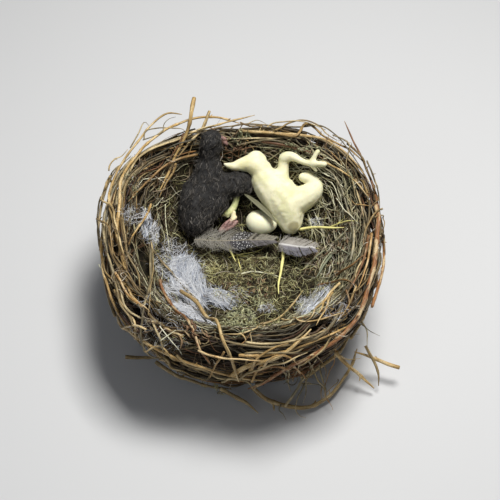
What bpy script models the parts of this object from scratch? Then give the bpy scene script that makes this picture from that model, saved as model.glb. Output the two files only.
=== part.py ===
"""A bird's nest of woven twigs, and what lies in it: two dead chicks, an egg, feathers, down and straw.

The nest stands on the plane z = 0 with its origin at the centre of its flat base. +Y is its back,
where the rim is highest. Points on it are written as (degrees, station, lift): the angle round from
+X, the place along the section below, and the height over the surface in millimetres.
"""

import math

import bmesh
import bpy
import numpy as np
from mathutils import Matrix, Vector
from mathutils.bvhtree import BVHTree

MM = 0.001

# Driving dimensions, in millimetres.
RADIUS = 128.0
HEIGHT = 125.0
LINING = 6.0
GAP = 0.45
CUP_SHIFT = Vector((8.0, -4.0, 0.0))
COIL_RELIEF = 2.0
TWIG_STEP = 20.0

# The section as parts of RADIUS and HEIGHT, one point a station: 0 is the edge of the base, 4 the
# widest place, 6 the crest of the rim, 8 and 9 the cup's wall and 11 the middle of its floor.
SECTION = [
    (0.656, 0.000), (0.773, 0.072), (0.859, 0.272), (0.938, 0.544), (1.000, 0.800), (0.992, 0.928),
    (0.906, 1.000), (0.812, 0.960), (0.727, 0.800), (0.617, 0.632), (0.406, 0.528), (0.000, 0.488),
]
FLOOR = 11.0
CUP_STATIONS = (10.4, 9.8, 9.2, 8.6, 8.0, 7.55)
COILS = 15
TURN_STEPS = 40

# How far the rim is pulled out of round: four blunt corners, one side fuller, and a raised back.
CORNERS = (0.028, math.radians(47.0))
FULLER = (0.015, math.radians(60.0))
BACK_RISE = 0.05

# Laying a twig: how often it is pushed off what is under it, and how soft the push is.
PASSES = 140
EASE = 0.25

COLOURS = {
    "tan": (0.33, 0.23, 0.12), "golden": (0.50, 0.34, 0.14), "grey": (0.30, 0.27, 0.20),
    "brown": (0.26, 0.13, 0.07), "lining": (0.12, 0.11, 0.06), "wall": (0.14, 0.10, 0.06),
    "black": (0.02, 0.02, 0.02), "cream": (0.72, 0.66, 0.40), "egg": (0.78, 0.72, 0.52),
    "slate": (0.16, 0.16, 0.17), "lilac": (0.35, 0.33, 0.36), "white": (0.75, 0.76, 0.80),
    "straw": (0.62, 0.52, 0.22), "pink": (0.45, 0.26, 0.26), "green": (0.22, 0.24, 0.15),
}

# Twigs in the order in which they are laid: name, radius, colour and route. A point of a route is
# (degrees, station, lift), and lies LIE over the surface where it gives no lift.
LIE = 3.0
TWIGS = [
    ("back_low", 1.9, "tan", [(28, 1.6), (50, 1.9), (72, 2.1), (95, 1.8), (118, 2.0), (140, 1.6)]),
    ("back_mid", 1.6, "brown", [(18, 3.0), (45, 3.3), (70, 2.9), (95, 3.2), (122, 3.0)]),
    ("back_high", 1.7, "golden", [(33, 4.0), (58, 4.4), (84, 4.1), (110, 4.3), (136, 3.9)]),
    ("right_low", 1.8, "tan", [(300, 1.6), (322, 1.9), (345, 1.7), (8, 2.1), (24, 1.8)]),
    ("right_mid", 1.6, "golden", [(318, 3.4), (338, 3.0), (358, 3.3), (16, 3.7)]),
    ("right_high", 1.5, "brown", [(328, 4.4), (350, 4.2), (10, 4.1), (30, 4.4), (48, 4.2)]),
    ("left_low", 1.8, "brown", [(150, 1.6), (172, 2.0), (196, 1.7), (214, 2.1)]),
    ("left_rib", 1.5, "tan", [(158, 3.3), (172, 3.6), (186, 3.2), (200, 3.6), (214, 3.2), (226, 3.0)]),
    ("left_band", 1.7, "golden", [(146, 4.6), (160, 4.3), (173, 4.3), (187, 4.5), (200, 4.8),
        (213, 4.6), (224, 4.1)]),
    ("left_inner", 1.4, "tan", [(142, 6.4), (154, 6.1), (168, 6.2), (179, 6.5), (193, 6.5),
        (206, 6.9), (217, 6.5)]),
    ("left_outer", 1.5, "grey", [(140, 5.1), (153, 5.0), (168, 5.0), (182, 5.2), (196, 5.5),
        (209, 5.6), (222, 5.3), (236, 5.9)]),
    ("right_inner", 1.2, "grey", [(343, 7.2, 2), (0, 7.0, 2), (18, 7.2, 2), (35, 7.0, 2),
        (49, 7.2, 2)]),
    ("right_needle", 0.9, "golden", [(46, 6.9), (36, 6.6), (26, 6.2, 4), (16, 5.8, 4)]),
    ("rim_back_inner", 1.4, "brown", [(80, 6.9), (69, 6.9), (59, 6.9), (48, 6.8)]),
    ("rim_back_long", 1.6, "golden", [(91, 6.3), (80, 6.4), (67, 6.3), (56, 5.8), (50, 5.4),
        (43, 5.2), (37, 5.1), (26, 5.0)]),
    ("thick_back_left", 2.3, "grey", [(168, 5.9, 2), (157, 5.8, 2), (150, 5.8), (141, 5.7),
        (133, 6.0, 4), (123, 6.2, 4), (116, 6.2)]),
    ("front_upper", 1.6, "tan", [(317, 6.1), (304, 5.4, 4), (291, 5.4, 4), (281, 5.4, 4),
        (269, 5.6), (258, 5.9)]),
    ("front_pair", 1.5, "golden", [(269, 5.0), (278, 5.0, 4), (287, 5.1, 4), (295, 5.2, 4),
        (303, 5.2, 4), (314, 5.0)]),
    ("low_front_long", 1.6, "golden", [(191, 3.1), (201, 2.8), (215, 3.5), (230, 4.1), (243, 4.1),
        (258, 3.5), (269, 2.9), (280, 2.5)]),
    ("low_front_thick", 2.0, "tan", [(226, 1.9), (231, 1.6), (240, 1.9), (249, 1.8), (255, 1.3),
        (264, 1.1)]),
    ("bulge_left", 1.7, "tan", [(208, 3.1), (192, 3.4, 5), (181, 3.9, 6), (174, 4.4, 7),
        (165, 4.7, 7), (156, 4.9, 8), (149, 5.3, 9)]),
    ("rim_back_left", 1.7, "golden", [(204, 6.3, 2), (187, 6.1, 2), (168, 5.7), (153, 5.7, 6),
        (143, 5.7, 8), (134, 5.9, 10), (123, 5.8, 12), (108, 5.6, 12), (99, 5.8, 10), (91, 6.1, 8)]),
    ("loop_back_left", 1.5, "golden", [(196, 6.3), (188, 6.1), (176, 5.7), (167, 5.4),
        (157, 5.0, 4), (149, 5.3, 7), (137, 5.5, 12), (129, 5.3, 16), (125, 5.3, 20),
        (119, 5.4, 22), (116, 5.8, 20)]),
    ("stub_tall", 2.0, "golden", [(109, 5.7, 31), (113, 6.0, 22), (116, 6.2, 10), (124, 6.7, 4),
        (130, 7.2), (137, 7.5), (144, 7.7)]),
    ("stub_short", 1.5, "tan", [(104, 5.7, 17), (108, 6.1, 9), (112, 6.2, 5), (119, 6.7, 4),
        (126, 7.0)]),
    ("tip_back", 1.2, "golden", [(114, 6.4, 6), (104, 6.2, 7), (98, 6.0, 7), (91, 6.0, 8),
        (84, 5.8, 12)]),
    ("arch_back_right", 0.9, "grey", [(74, 5.6, 2), (66, 5.3, 4), (62, 5.3, 10), (57, 5.2, 12),
        (51, 5.3, 11), (46, 5.2, 9), (39, 5.2, 5), (31, 5.1)]),
    ("upright_right", 1.3, "brown", [(5, 5.4), (17, 4.8, 4), (21, 4.8, 4), (29, 4.8, 6),
        (39, 5.1, 12), (45, 5.1, 17), (50, 5.2, 25)]),
    ("brown_front_left", 1.6, "brown", [(201, 8.6), (214, 8.5), (229, 8.0), (240, 7.0),
        (248, 5.9, 4), (255, 5.1, 4), (258, 4.2)]),
    ("grey_left", 1.3, "grey", [(181, 8.2), (207, 7.8), (226, 6.4), (235, 5.2), (238, 4.3),
        (238, 3.4)]),
    ("hoop_right", 2.3, "brown", [(13, 5.3), (357, 5.5), (346, 5.6), (332, 5.5), (322, 5.3),
        (315, 5.0, 4), (308, 4.8, 4), (297, 4.2, 4), (289, 3.6), (280, 2.3), (273, 1.5)]),
    ("diagonal_front", 2.3, "golden", [(266, 3.2), (272, 4.0), (277, 4.7), (284, 5.3), (291, 5.5),
        (299, 5.8)]),
    ("diagonal_golden", 1.9, "golden", [(213, 9.2), (228, 9.4), (243, 9.0, 5), (252, 7.6, 5),
        (258, 6.4, 4), (264, 5.5, 4), (268, 4.3, 4), (269, 3.3, 4)]),
]

# Sticks that stand clear of the wall, as (x, y, z) in millimetres from the base's centre.
STICKS = [
    ("arc_front_low", 2.2, "tan", [(10, -97, 10), (19, -106, 9), (35, -114, 8), (54, -117, 8),
        (72, -112, 9), (88, -99, 13), (100, -83, 20), (107, -69, 32)]),
    ("stick_left_low", 2.1, "tan", [(-108, -71, 20), (-97, -70, 18), (-86, -69, 15), (-77, -66, 12)]),
    ("stick_front_low", 2.2, "tan", [(-19, -97, 16), (-10, -102, 12), (2, -110, 8), (15, -121, 5)]),
    ("stick_right_golden", 2.2, "golden", [(84, -78, 44), (95, -84, 32), (108, -90, 21),
        (122, -98, 10)]),
    ("stick_right_tip", 2.1, "golden", [(146, -83, 22), (131, -79, 25), (117, -76, 30),
        (104, -74, 34)]),
    ("stick_right_short", 1.6, "tan", [(113, -72, 42), (120, -80, 33), (126, -88, 20), (127, -95, 9)]),
]

# Straws, routed like the twigs, but inside the cup.
STRAWS = [
    ("straw_upright", 1.5, "straw", [(39, 15, 75), (38, 2, 71), (36, -10, 70), (34, -22, 70)]),
    ("straw_left", 1.3, "straw", [(-13, 20, 73), (-9, 12, 71), (-5, 3, 70)]),
    ("straw_right", 1.2, "straw", [(54, 33, 80), (66, 29, 88), (80, 21, 98), (94, 14, 108)]),
    ("grass_blade", 1.8, "green", [(4, 68, 92), (13, 60, 96), (21, 51, 95), (28, 42, 92), (34, 35, 84)]),
    ("pink_curl", 2.8, "pink", [(-20, 36, 73), (-15, 40, 76), (-10, 43, 79), (-6, 47, 83)]),
]

# The chicks' limbs, as (x, y, z, radius) in millimetres.
DARK_CHICK = [
    [(-43, 39, 86, 14), (-39, 49, 91, 18.5), (-35, 62, 95, 19), (-32, 74, 103, 16.5), (-31, 85, 115, 9.5),
     (-30, 91, 126, 8.5)],
    [(-30, 95, 134, 10), (-28, 96, 135, 10)],
    [(-23, 97, 134, 5), (-16, 97, 132, 2.6)],
    [(-29, 54, 91, 15), (-21, 68, 98, 14.5), (-6, 72, 100, 12), (3, 75, 98, 9.5)],
    [(-3, 70, 90, 4), (-5, 63, 84, 3.1), (-9, 59, 80, 3.3), (-15, 55, 78, 2.8), (-20, 53, 77, 2.3)],
    [(-47, 66, 100, 9), (-52, 52, 92, 8), (-51, 42, 86, 6)],
]
PALE_CHICK = [
    [(-16, 82, 117, 1.4), (-8, 82, 114, 3.3), (1, 85, 113, 7.6), (10, 86, 113, 9.6), (20, 83, 107, 10.5)],
    [(23, 77, 101, 14), (31, 68, 97, 18), (39, 58, 91, 18.5), (45, 48, 84, 15), (47, 40, 79.5, 10.5)],
    [(38, 76, 104, 9), (40, 86, 114, 6.4), (41, 88, 119, 5.6), (48, 86, 123, 4.2), (58, 79, 124, 3.2),
     (65, 76, 125, 3.5)],
    [(65, 76, 125, 2.4), (71, 83, 134, 1.6)],
    [(65, 76, 125, 2.4), (78, 71, 130, 1.7)],
    [(65, 76, 125, 2.4), (70, 71, 121, 1.6)],
    [(46, 56, 90, 15), (57, 58, 94, 13), (66, 61, 99, 11), (70, 67, 104, 8.2), (65, 72, 108, 6), (58, 72, 110, 4)],
]
CHICK_VOXEL = 1.2
CHICK_FACES = 720

# The egg's long half, short half and girth, and where it lies.
EGG = (16.0, 14.0, 11.6)
EGG_PLACE = (18, 42, 79.5)
EGG_TURN = (math.radians(90.0), 0.0, math.radians(80.0))
EGG_RINGS = 10

# Feathers: the shaft's route, the vane's half width and the thickness.
FEATHERS = [
    ("spotted_feather", "slate", 10.0, [(-44, 22, 78), (-18, 21, 77), (6, 22, 77), (31, 22, 78)]),
    ("lilac_feather", "lilac", 10.5, [(35, 17, 78), (46, 14, 79), (57, 10, 82), (68, 6, 88)]),
]
VANE = 1.2

# Tufts of down: name, (degrees, station), and the half length and half width.
TUFTS = [
    ("down_large", (196, 9.8), (38.0, 26.0)),
    ("down_middle", (231, 10.2), (18.0, 14.0)),
    ("down_front", (233, 8.9), (27.0, 15.0)),
    ("down_left", (167, 7.9), (20.0, 13.0)),
    ("down_right", (322, 8.8), (26.0, 17.0)),
]
TUFT = 3.0
TUFT_SPOKES = 12


# ---------------------------------------------------------------------------------- the form

def between(points, at):
    """The Catmull-Rom curve through the points, where at counts along them."""
    last = len(points) - 1
    at = min(max(at, 0.0), float(last))
    first = min(int(at), last - 1)
    t = at - first
    a, b, c, d = (points[min(max(first + k, 0), last)] for k in (-1, 0, 1, 2))
    return 0.5 * (2 * b + (c - a) * t + (2 * a - 5 * b + 4 * c - d) * t**2 + (3 * b - a - 3 * c + d) * t**3)


def section(station, lift=0.0):
    """A point of the section in the X-Z plane, in millimetres, lifted off the surface."""
    points = [Vector((r * RADIUS, z * HEIGHT)) for r, z in SECTION]
    along = between(points, station + 0.02) - between(points, station - 0.02)
    outward = Vector((along.y, -along.x)).normalized()
    return between(points, station) + outward * lift


def pulled(point):
    """A point of the round nest, in millimetres, where the real nest's uneven shape puts it."""
    angle = math.atan2(point.y, point.x)
    reach = math.hypot(point.x, point.y) / RADIUS
    grow = 1 + CORNERS[0] * math.cos(4 * (angle - CORNERS[1])) + FULLER[0] * math.cos(angle - FULLER[1])
    shift = CUP_SHIFT * max(0.0, 1 - reach / 0.9)
    rise = BACK_RISE * point.z**2 / HEIGHT * point.y / RADIUS
    return Vector((point.x * grow, point.y * grow, point.z + rise)) + shift


def place(degrees, station, lift=LIE):
    """A point over the nest's surface, in metres."""
    r, z = section(station, lift)
    angle = math.radians(degrees)
    return pulled(Vector((r * math.cos(angle), r * math.sin(angle), z))) * MM


# ---------------------------------------------------------------------------------- tools

def material(name):
    """A plain material of one of the COLOURS."""
    found = bpy.data.materials.new(name)
    found.use_nodes = True
    shader = found.node_tree.nodes["Principled BSDF"]
    shader.inputs["Base Color"].default_value = (*COLOURS[name.split(".")[0]], 1)
    shader.inputs["Roughness"].default_value = 0.8
    shader.inputs["Metallic"].default_value = 0.0
    found.diffuse_color = (*COLOURS[name.split(".")[0]], 1)
    return found


def added(name, data, colour):
    """A new object of the nest's collection, with its own material."""
    obj = bpy.data.objects.new(name, data)
    data.materials.append(material(f"{colour}.{name}"))
    NEST.objects.link(obj)
    obj.parent = ORIGIN
    return obj


def mesh_of(obj):
    """The object's mesh with its modifiers applied."""
    graph = bpy.context.evaluated_depsgraph_get()
    graph.update()
    return bpy.data.meshes.new_from_object(obj.evaluated_get(graph))


def bake(obj):
    obj.data = mesh_of(obj)
    obj.modifiers.clear()


class Ground:
    """Everything that lies where it is, which later pieces must clear."""

    def __init__(self):
        self.points = []
        self.faces = []
        self.tree = None

    def add(self, obj):
        bpy.context.view_layer.update()
        first = len(self.points)
        self.points += [obj.matrix_world @ v.co for v in obj.data.vertices]
        self.faces += [[first + i for i in face.vertices] for face in obj.data.polygons]
        self.tree = BVHTree.FromPolygons(self.points, self.faces)

    def push(self, point, clear):
        """The move that brings the point the given height clear of the ground, and the way out."""
        near, normal, _, distance = self.tree.find_nearest(point)
        above = distance if (point - near).dot(normal) >= 0 else -distance
        return normal * max(0.0, clear - above), normal


def press(obj, ground, clear, passes=4):
    """Moves the vertices out of the ground, with the faces that would still cut into it."""
    vertices = obj.data.vertices
    for _ in range(passes):
        for vertex in vertices:
            vertex.co += ground.push(vertex.co, clear)[0]
        for face in obj.data.polygons:
            move = ground.push(face.center, clear / 2)[0]
            if move.length > 0:
                for i in face.vertices:
                    vertices[i].co += move


# ---------------------------------------------------------------------------------- wall and lining

def turned(name, profile, colour):
    """A closed body turned from a profile in millimetres, then pulled out of round."""
    mesh = bpy.data.meshes.new(name)
    edges = [(i, i + 1) for i in range(len(profile) - 1)]
    mesh.from_pydata([(r, 0, z) for r, z in profile], edges, [])
    obj = added(name, mesh, colour)
    screw = obj.modifiers.new("Turn", "SCREW")
    screw.steps = screw.render_steps = TURN_STEPS
    screw.use_merge_vertices = True
    screw.merge_threshold = 0.0001
    bake(obj)
    for vertex in obj.data.vertices:
        vertex.co = pulled(vertex.co) * MM
    obj.data.shade_smooth()
    return obj


def cup_points(lift):
    """The cup's profile from the middle of its floor to its lip, lifted off its surface."""
    return [Vector((0, section(FLOOR, lift).y)), *(section(s, lift) for s in CUP_STATIONS)]


def outside_points():
    """The profile from the lip over the rim and down the coils to the middle of the base."""
    crest = [section(s) for s in (7.3, 6.9, 6.5)]
    coils = []
    for i in range(COILS):
        coils.append(section(6.1 * (1 - i / COILS), -COIL_RELIEF * (i % 2)))
    return [*crest, *coils, section(0), Vector((0, 0))]


def twig_wall():
    """The wound wall of twigs: ridged like its coils outside, with a smooth seat for the lining."""
    return turned("twig_wall", [*cup_points(-LINING), *outside_points()], "wall")


def cup_lining():
    """The bowl of fine grass and moss that the eggs lie on."""
    under = cup_points(GAP - LINING)
    return turned("cup_lining", [*cup_points(0), *reversed(under)], "lining")


def whole_form(ground):
    """The wall and lining as one body, which is what the other pieces rest on."""
    form = turned("form", [*cup_points(0), *outside_points()], "wall")
    ground.add(form)
    bpy.data.objects.remove(form)


# ---------------------------------------------------------------------------------- what lies in the cup

def beads(limb):
    """Balls strung close together along a limb, each as (centre, radius) in metres."""
    stations = [Vector(point) for point in limb]
    at = 0.0
    while at <= len(limb) - 1:
        x, y, z, radius = between(stations, at)
        yield Vector((x, y, z)) * MM, radius * MM
        first = stations[min(int(at), len(limb) - 2)]
        last = stations[min(int(at), len(limb) - 2) + 1]
        at += 0.35 * radius / (last.xyz - first.xyz).length
    yield Vector(limb[-1][:3]) * MM, limb[-1][3] * MM


def chick(name, limbs, colour, ground):
    """A small body grown over its limbs and laid down on what is under it."""
    shape = bmesh.new()
    for limb in limbs:
        for centre, radius in beads(limb):
            spot = Matrix.Translation(centre)
            bmesh.ops.create_icosphere(shape, subdivisions=2, radius=radius, matrix=spot)
    mesh = bpy.data.meshes.new(name)
    shape.to_mesh(mesh)
    shape.free()
    obj = added(name, mesh, colour)
    skin = obj.modifiers.new("Skin", "REMESH")
    skin.mode = "VOXEL"
    skin.voxel_size = CHICK_VOXEL * MM
    bake(obj)
    soften = obj.modifiers.new("Soften", "SMOOTH")
    soften.iterations = 3
    thin = obj.modifiers.new("Thin", "DECIMATE")
    thin.ratio = CHICK_FACES / (2 * len(obj.data.polygons))
    bake(obj)
    press(obj, ground, 1.2 * MM)
    obj.data.shade_smooth()
    ground.add(obj)


def egg(ground):
    """One egg, turned from two half ellipses of the same girth."""
    long_half, short_half, girth = EGG
    profile = []
    for i in range(EGG_RINGS + 1):
        angle = math.pi * i / EGG_RINGS
        half = long_half if 2 * i < EGG_RINGS else short_half
        profile.append((girth * math.sin(angle) * MM, 0, half * math.cos(angle) * MM))
    mesh = bpy.data.meshes.new("egg")
    mesh.from_pydata(profile, [(i, i + 1) for i in range(EGG_RINGS)], [])
    obj = added("egg", mesh, "egg")
    screw = obj.modifiers.new("Turn", "SCREW")
    screw.steps = screw.render_steps = 14
    screw.use_merge_vertices = True
    screw.merge_threshold = 0.0001
    bake(obj)
    obj.location = Vector(EGG_PLACE) * MM
    obj.rotation_euler = EGG_TURN
    obj.data.shade_smooth()
    ground.add(obj)


def sheet(name, colour, points, faces, thickness, ground):
    """A thin soft sheet, draped over what is under it and then given its thickness."""
    mesh = bpy.data.meshes.new(name)
    mesh.from_pydata(points, [], faces)
    obj = added(name, mesh, colour)
    low = (thickness / 2 + GAP) * MM
    for _ in range(8):
        press(obj, ground, low + 0.6 * MM, passes=2)
        soften = obj.modifiers.new("Soften", "SMOOTH")
        soften.iterations = 1
        bake(obj)
    press(obj, ground, low + 0.6 * MM, passes=3)
    shell = obj.modifiers.new("Thickness", "SOLIDIFY")
    shell.thickness = thickness * MM
    shell.offset = 0.0
    bake(obj)
    press(obj, ground, 0.7 * MM, passes=2)
    obj.data.shade_smooth()
    ground.add(obj)


def feather(name, colour, half_width, route, ground):
    """A feather: a thin vane, widest before its middle, rounded at its tip."""
    shaft = [Vector(point) for point in route]
    last = len(shaft) - 1
    rows, across = 9, (-1.0, -0.4, 0.4, 1.0)
    points = []
    for i in range(rows):
        at = i / (rows - 1)
        middle = between(shaft, at * last)
        along = between(shaft, at * last + 0.05) - between(shaft, at * last - 0.05)
        side = along.cross(Vector((0, 0, 1))).normalized()
        width = half_width * (0.25 + 0.75 * math.sin(math.pi * min(1.0, 0.12 + 0.88 * at) ** 0.8))
        points += [(middle + side * width * u) * MM for u in across]
    faces = []
    for i in range(rows - 1):
        for j in range(len(across) - 1):
            corner = i * len(across) + j
            faces.append((corner, corner + len(across), corner + len(across) + 1, corner + 1))
    sheet(name, colour, points, faces, VANE, ground)


def tuft(name, spot, size, ground):
    """A flat lock of down with a ragged edge, turned along the nest's round."""
    degrees, station = spot
    centre = place(degrees, station)
    along = (place(degrees + 2, station) - place(degrees - 2, station)).normalized()
    up = (place(degrees, station - 0.1) - place(degrees, station + 0.1)).normalized()
    points = [centre]
    for ring in (0.4, 0.72, 1.0):
        for k in range(TUFT_SPOKES):
            swing = math.tau * k / TUFT_SPOKES
            reach = ring * (1 + 0.12 * math.sin(3 * swing + degrees) + 0.08 * math.sin(7 * swing))
            x, y = (reach * s * MM for s in size)
            points.append(centre + along * x * math.cos(swing) + up * y * math.sin(swing))
    faces = []
    for k in range(TUFT_SPOKES):
        follow = (k + 1) % TUFT_SPOKES
        faces.append((0, 1 + k, 1 + follow))
        for first in (1, 1 + TUFT_SPOKES):
            outer = first + TUFT_SPOKES
            faces.append((first + k, outer + k, outer + follow, first + follow))
    sheet(name, "white", points, faces, TUFT, ground)


# ---------------------------------------------------------------------------------- twigs and straws

def spaced(route):
    """Points at about TWIG_STEP along the curve through the route, which is in metres."""
    fine = [between(route, i / 12) for i in range(12 * (len(route) - 1) + 1)]
    length = [0.0]
    for a, b in zip(fine, fine[1:]):
        length.append(length[-1] + (b - a).length)
    count = max(3, round(length[-1] / (TWIG_STEP * MM)))
    wanted = [length[-1] * i / count for i in range(count + 1)]
    return np.array([[np.interp(w, length, [p[k] for p in fine]) for k in range(3)] for w in wanted])


def closest(start, end, starts, ends):
    """Where a segment comes nearest to each of the others: how far along it, and both points."""
    u, v, w = end - start, ends - starts, start - starts
    a, b, c = u @ u, v @ u, (v * v).sum(1)
    d, e = w @ u, (v * w).sum(1)
    s = np.clip((b * e - c * d) / np.maximum(a * c - b * b, 1e-14), 0, 1)
    t = np.clip((b * s + e) / c, 0, 1)
    s = np.clip((b * t - d) / a, 0, 1)
    return s, start + s[:, None] * u, starts + t[:, None] * v


class Pile:
    """The twigs that are already laid, as segments with a radius each."""

    def __init__(self):
        self.starts = np.zeros((0, 3))
        self.ends = np.zeros((0, 3))
        self.radii = np.zeros(0)

    def add(self, points, radii):
        self.starts = np.concatenate([self.starts, points[:-1]])
        self.ends = np.concatenate([self.ends, points[1:]])
        self.radii = np.concatenate([self.radii, np.maximum(radii[:-1], radii[1:])])


def lay(points, radii, pile, ground):
    """Pushes a twig's points outwards until it clears the ground and the twigs under it."""
    for turn in range(PASSES):
        moves = np.zeros_like(points)
        for i in range(len(points) - 1):
            thick = max(radii[i], radii[i + 1])
            for share in (0.0, 0.25, 0.5, 0.75, 1.0):
                middle = points[i] * (1 - share) + points[i + 1] * share
                move, _ = ground.push(Vector(middle), thick + GAP * MM)
                spread(moves, i, share, np.array(move))
            if not len(pile.radii):
                continue
            shares, here, there = closest(points[i], points[i + 1], pile.starts, pile.ends)
            apart = np.linalg.norm(here - there, axis=1)
            lack = pile.radii + thick + GAP * MM - apart
            for k in np.flatnonzero(lack > 0):
                _, out = ground.push(Vector(here[k]), 0.0)
                away = (here[k] - there[k]) / max(apart[k], 1e-6) + 1.5 * np.array(out)
                spread(moves, i, shares[k], away / np.linalg.norm(away) * lack[k])
        if np.abs(moves).max() < 1e-6:
            break
        points = points + moves
        if turn < PASSES / 2:
            drift = (points[:-2] + points[2:]) / 2 - points[1:-1]
            moved = np.abs(moves[1:-1]).max(axis=1, keepdims=True) > 0
            points[1:-1] += EASE * drift * moved
    return points


def spread(moves, i, share, move):
    """Keeps the larger of a point's moves, for both ends of segment i."""
    for k, part in ((i, 1 - share), (i + 1, share)):
        if part > 0.2 and np.linalg.norm(move) > np.linalg.norm(moves[k]):
            moves[k] = move


def tube(name, points, radii, colour):
    """A stem as a curve with a thickness at each point and closed ends."""
    curve = bpy.data.curves.new(name, "CURVE")
    curve.dimensions = "3D"
    curve.bevel_depth = max(radii)
    curve.bevel_resolution = 1
    curve.use_fill_caps = True
    spline = curve.splines.new("POLY")
    spline.points.add(len(points) - 1)
    for target, point, radius in zip(spline.points, points, radii):
        target.co = (*point, 1)
        target.radius = radius / max(radii)
    added(name, curve, colour)


def stems(table, prefix, pile, ground, to_metres):
    """Lays each stem of a table in turn: thick at its first point, and half as thick at its last."""
    for name, radius, colour, route in table:
        points = spaced([to_metres(point) for point in route])
        radii = np.linspace(radius, 0.55 * radius, len(points)) * MM
        points = lay(points, radii, pile, ground)
        pile.add(points, radii)
        tube(prefix + name, points, radii, colour)


# ---------------------------------------------------------------------------------- the nest

def build():
    ground = Ground()
    whole_form(ground)
    twig_wall()
    cup_lining()
    egg(ground)
    chick("dark_chick", DARK_CHICK, "black", ground)
    chick("pale_chick", PALE_CHICK, "cream", ground)
    for name, colour, half_width, route in FEATHERS:
        feather(name, colour, half_width, route, ground)
    for name, spot, size in TUFTS:
        tuft(name, spot, size, ground)
    pile = Pile()
    stems(STRAWS, "", pile, ground, lambda point: Vector(point) * MM)
    stems(TWIGS, "twig_", pile, ground, lambda point: place(*point))
    stems(STICKS, "twig_", pile, ground, lambda point: Vector(point) * MM)


for old in list(bpy.data.objects):
    bpy.data.objects.remove(old)
NEST = bpy.data.collections.new("bird_nest")
bpy.context.scene.collection.children.link(NEST)
ORIGIN = bpy.data.objects.new("nest_origin", None)
NEST.objects.link(ORIGIN)
build()
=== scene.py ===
# %% [markdown]
# # Dressing a bird's nest
#
# The packed model gives every solid of the nest: its wall, its lining, the twigs that can be told
# apart, and what lies in the cup. This lesson puts a finished surface round each of them. It loads
# the solids as a fixed frame first, so that every piece is written in the frame's own metres.

# %% Load the packed nest
import heapq
import math

import bmesh
import bpy
import numpy as np
from mathutils import Matrix, Vector, noise
from mathutils.bvhtree import BVHTree
from mathutils.kdtree import KDTree


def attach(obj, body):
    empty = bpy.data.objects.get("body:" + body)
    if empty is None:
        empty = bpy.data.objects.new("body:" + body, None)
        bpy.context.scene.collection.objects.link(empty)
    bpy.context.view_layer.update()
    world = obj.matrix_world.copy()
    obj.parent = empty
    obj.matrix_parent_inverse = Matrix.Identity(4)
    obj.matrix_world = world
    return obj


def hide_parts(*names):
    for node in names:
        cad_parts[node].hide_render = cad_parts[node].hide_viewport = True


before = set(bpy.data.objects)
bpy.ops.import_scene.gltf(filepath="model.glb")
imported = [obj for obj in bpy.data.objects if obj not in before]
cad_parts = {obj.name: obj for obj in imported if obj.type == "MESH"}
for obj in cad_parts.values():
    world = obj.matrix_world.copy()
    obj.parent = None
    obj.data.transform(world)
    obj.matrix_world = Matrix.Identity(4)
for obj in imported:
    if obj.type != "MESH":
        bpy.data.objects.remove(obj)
bpy.context.view_layer.update()
MM = 0.001
BODY = "root"


def shown(name, data):
    """A new object in the scene."""
    obj = bpy.data.objects.new(name, data)
    bpy.context.scene.collection.objects.link(obj)
    return obj


# %% [markdown]
# ## Camera, floor and light
#
# The photographer looked down on the nest at about 53 degrees, through a long lens that keeps its
# sides nearly parallel. A whole studio could be built round it, but two lamps are enough: one soft
# light hangs over the nest, and a wide weak one fills from the front left. So the gaps between the
# twigs stay dark, as they are in a real nest, and the upper side of each twig catches a bright line.

# %% Camera
PICTURE = 500.0
LENS, SENSOR = 84.0, 36.0
LOOK_AT = Vector((0.0, 0.0, 0.118))
ELEVATION, DISTANCE = math.radians(53.0), 1.05
SHIFT = (8.5 / PICTURE, -17.0 / PICTURE)

camera = shown("camera", bpy.data.cameras.new("camera"))
camera.data.lens, camera.data.sensor_width = LENS, SENSOR
camera.data.shift_x, camera.data.shift_y = SHIFT
back = Vector((0.0, -math.cos(ELEVATION), math.sin(ELEVATION)))
camera.location = LOOK_AT + back * DISTANCE
camera.rotation_euler = (-back).to_track_quat("-Z", "Y").to_euler()
bpy.context.scene.camera = camera
bpy.context.view_layer.update()
print("camera at", [round(x, 3) for x in camera.location])

# %% Lights
KEY_LIGHT = ("key_light", (0.22, 0.16, 1.30), 0.42, 21.0, (1.0, 0.985, 0.95))
FILL_LIGHT = ("fill_light", (-0.70, -1.10, 0.90), 0.9, 2.8, (0.93, 0.96, 1.0))
SKY, SKY_STRENGTH = (0.80, 0.83, 0.88, 1), 0.11


def lamp(name, at, size, power, colour):
    """A square soft light that faces the nest."""
    light = shown(name, bpy.data.lights.new(name, "AREA"))
    light.data.size, light.data.energy, light.data.color = size, power, colour
    light.location = at
    light.rotation_euler = (LOOK_AT - Vector(at)).to_track_quat("-Z", "Y").to_euler()
    print(name, "of", power, "watts at", at)


lamp(*KEY_LIGHT)
lamp(*FILL_LIGHT)
world = bpy.data.worlds.new("studio")
world.use_nodes = True
world.node_tree.nodes["Background"].inputs["Color"].default_value = SKY
world.node_tree.nodes["Background"].inputs["Strength"].default_value = SKY_STRENGTH
bpy.context.scene.world = world
bpy.context.scene.view_settings.view_transform = "Standard"

# %% [markdown]
# ## A small language for finishes
#
# A finish is a tree of shader nodes, and a tree is hard to read as a list of links. So one class
# stands for a socket, and Python's own operators add the Math nodes: `1 - dirt * 0.5` is a finish in
# the making. Every other node comes from one method, which takes its settings first and then what goes
# into its sockets. The floor is the first thing to be finished with it: a plain pale sweep.

# %% A socket in an expression
def operator(operation):
    """A Python operator that adds a Math node, and its reflected form, as in 1 - mask."""
    return (lambda self, other: self.paint.maths(operation, self, other),
            lambda self, other: self.paint.maths(operation, other, self))


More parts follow.
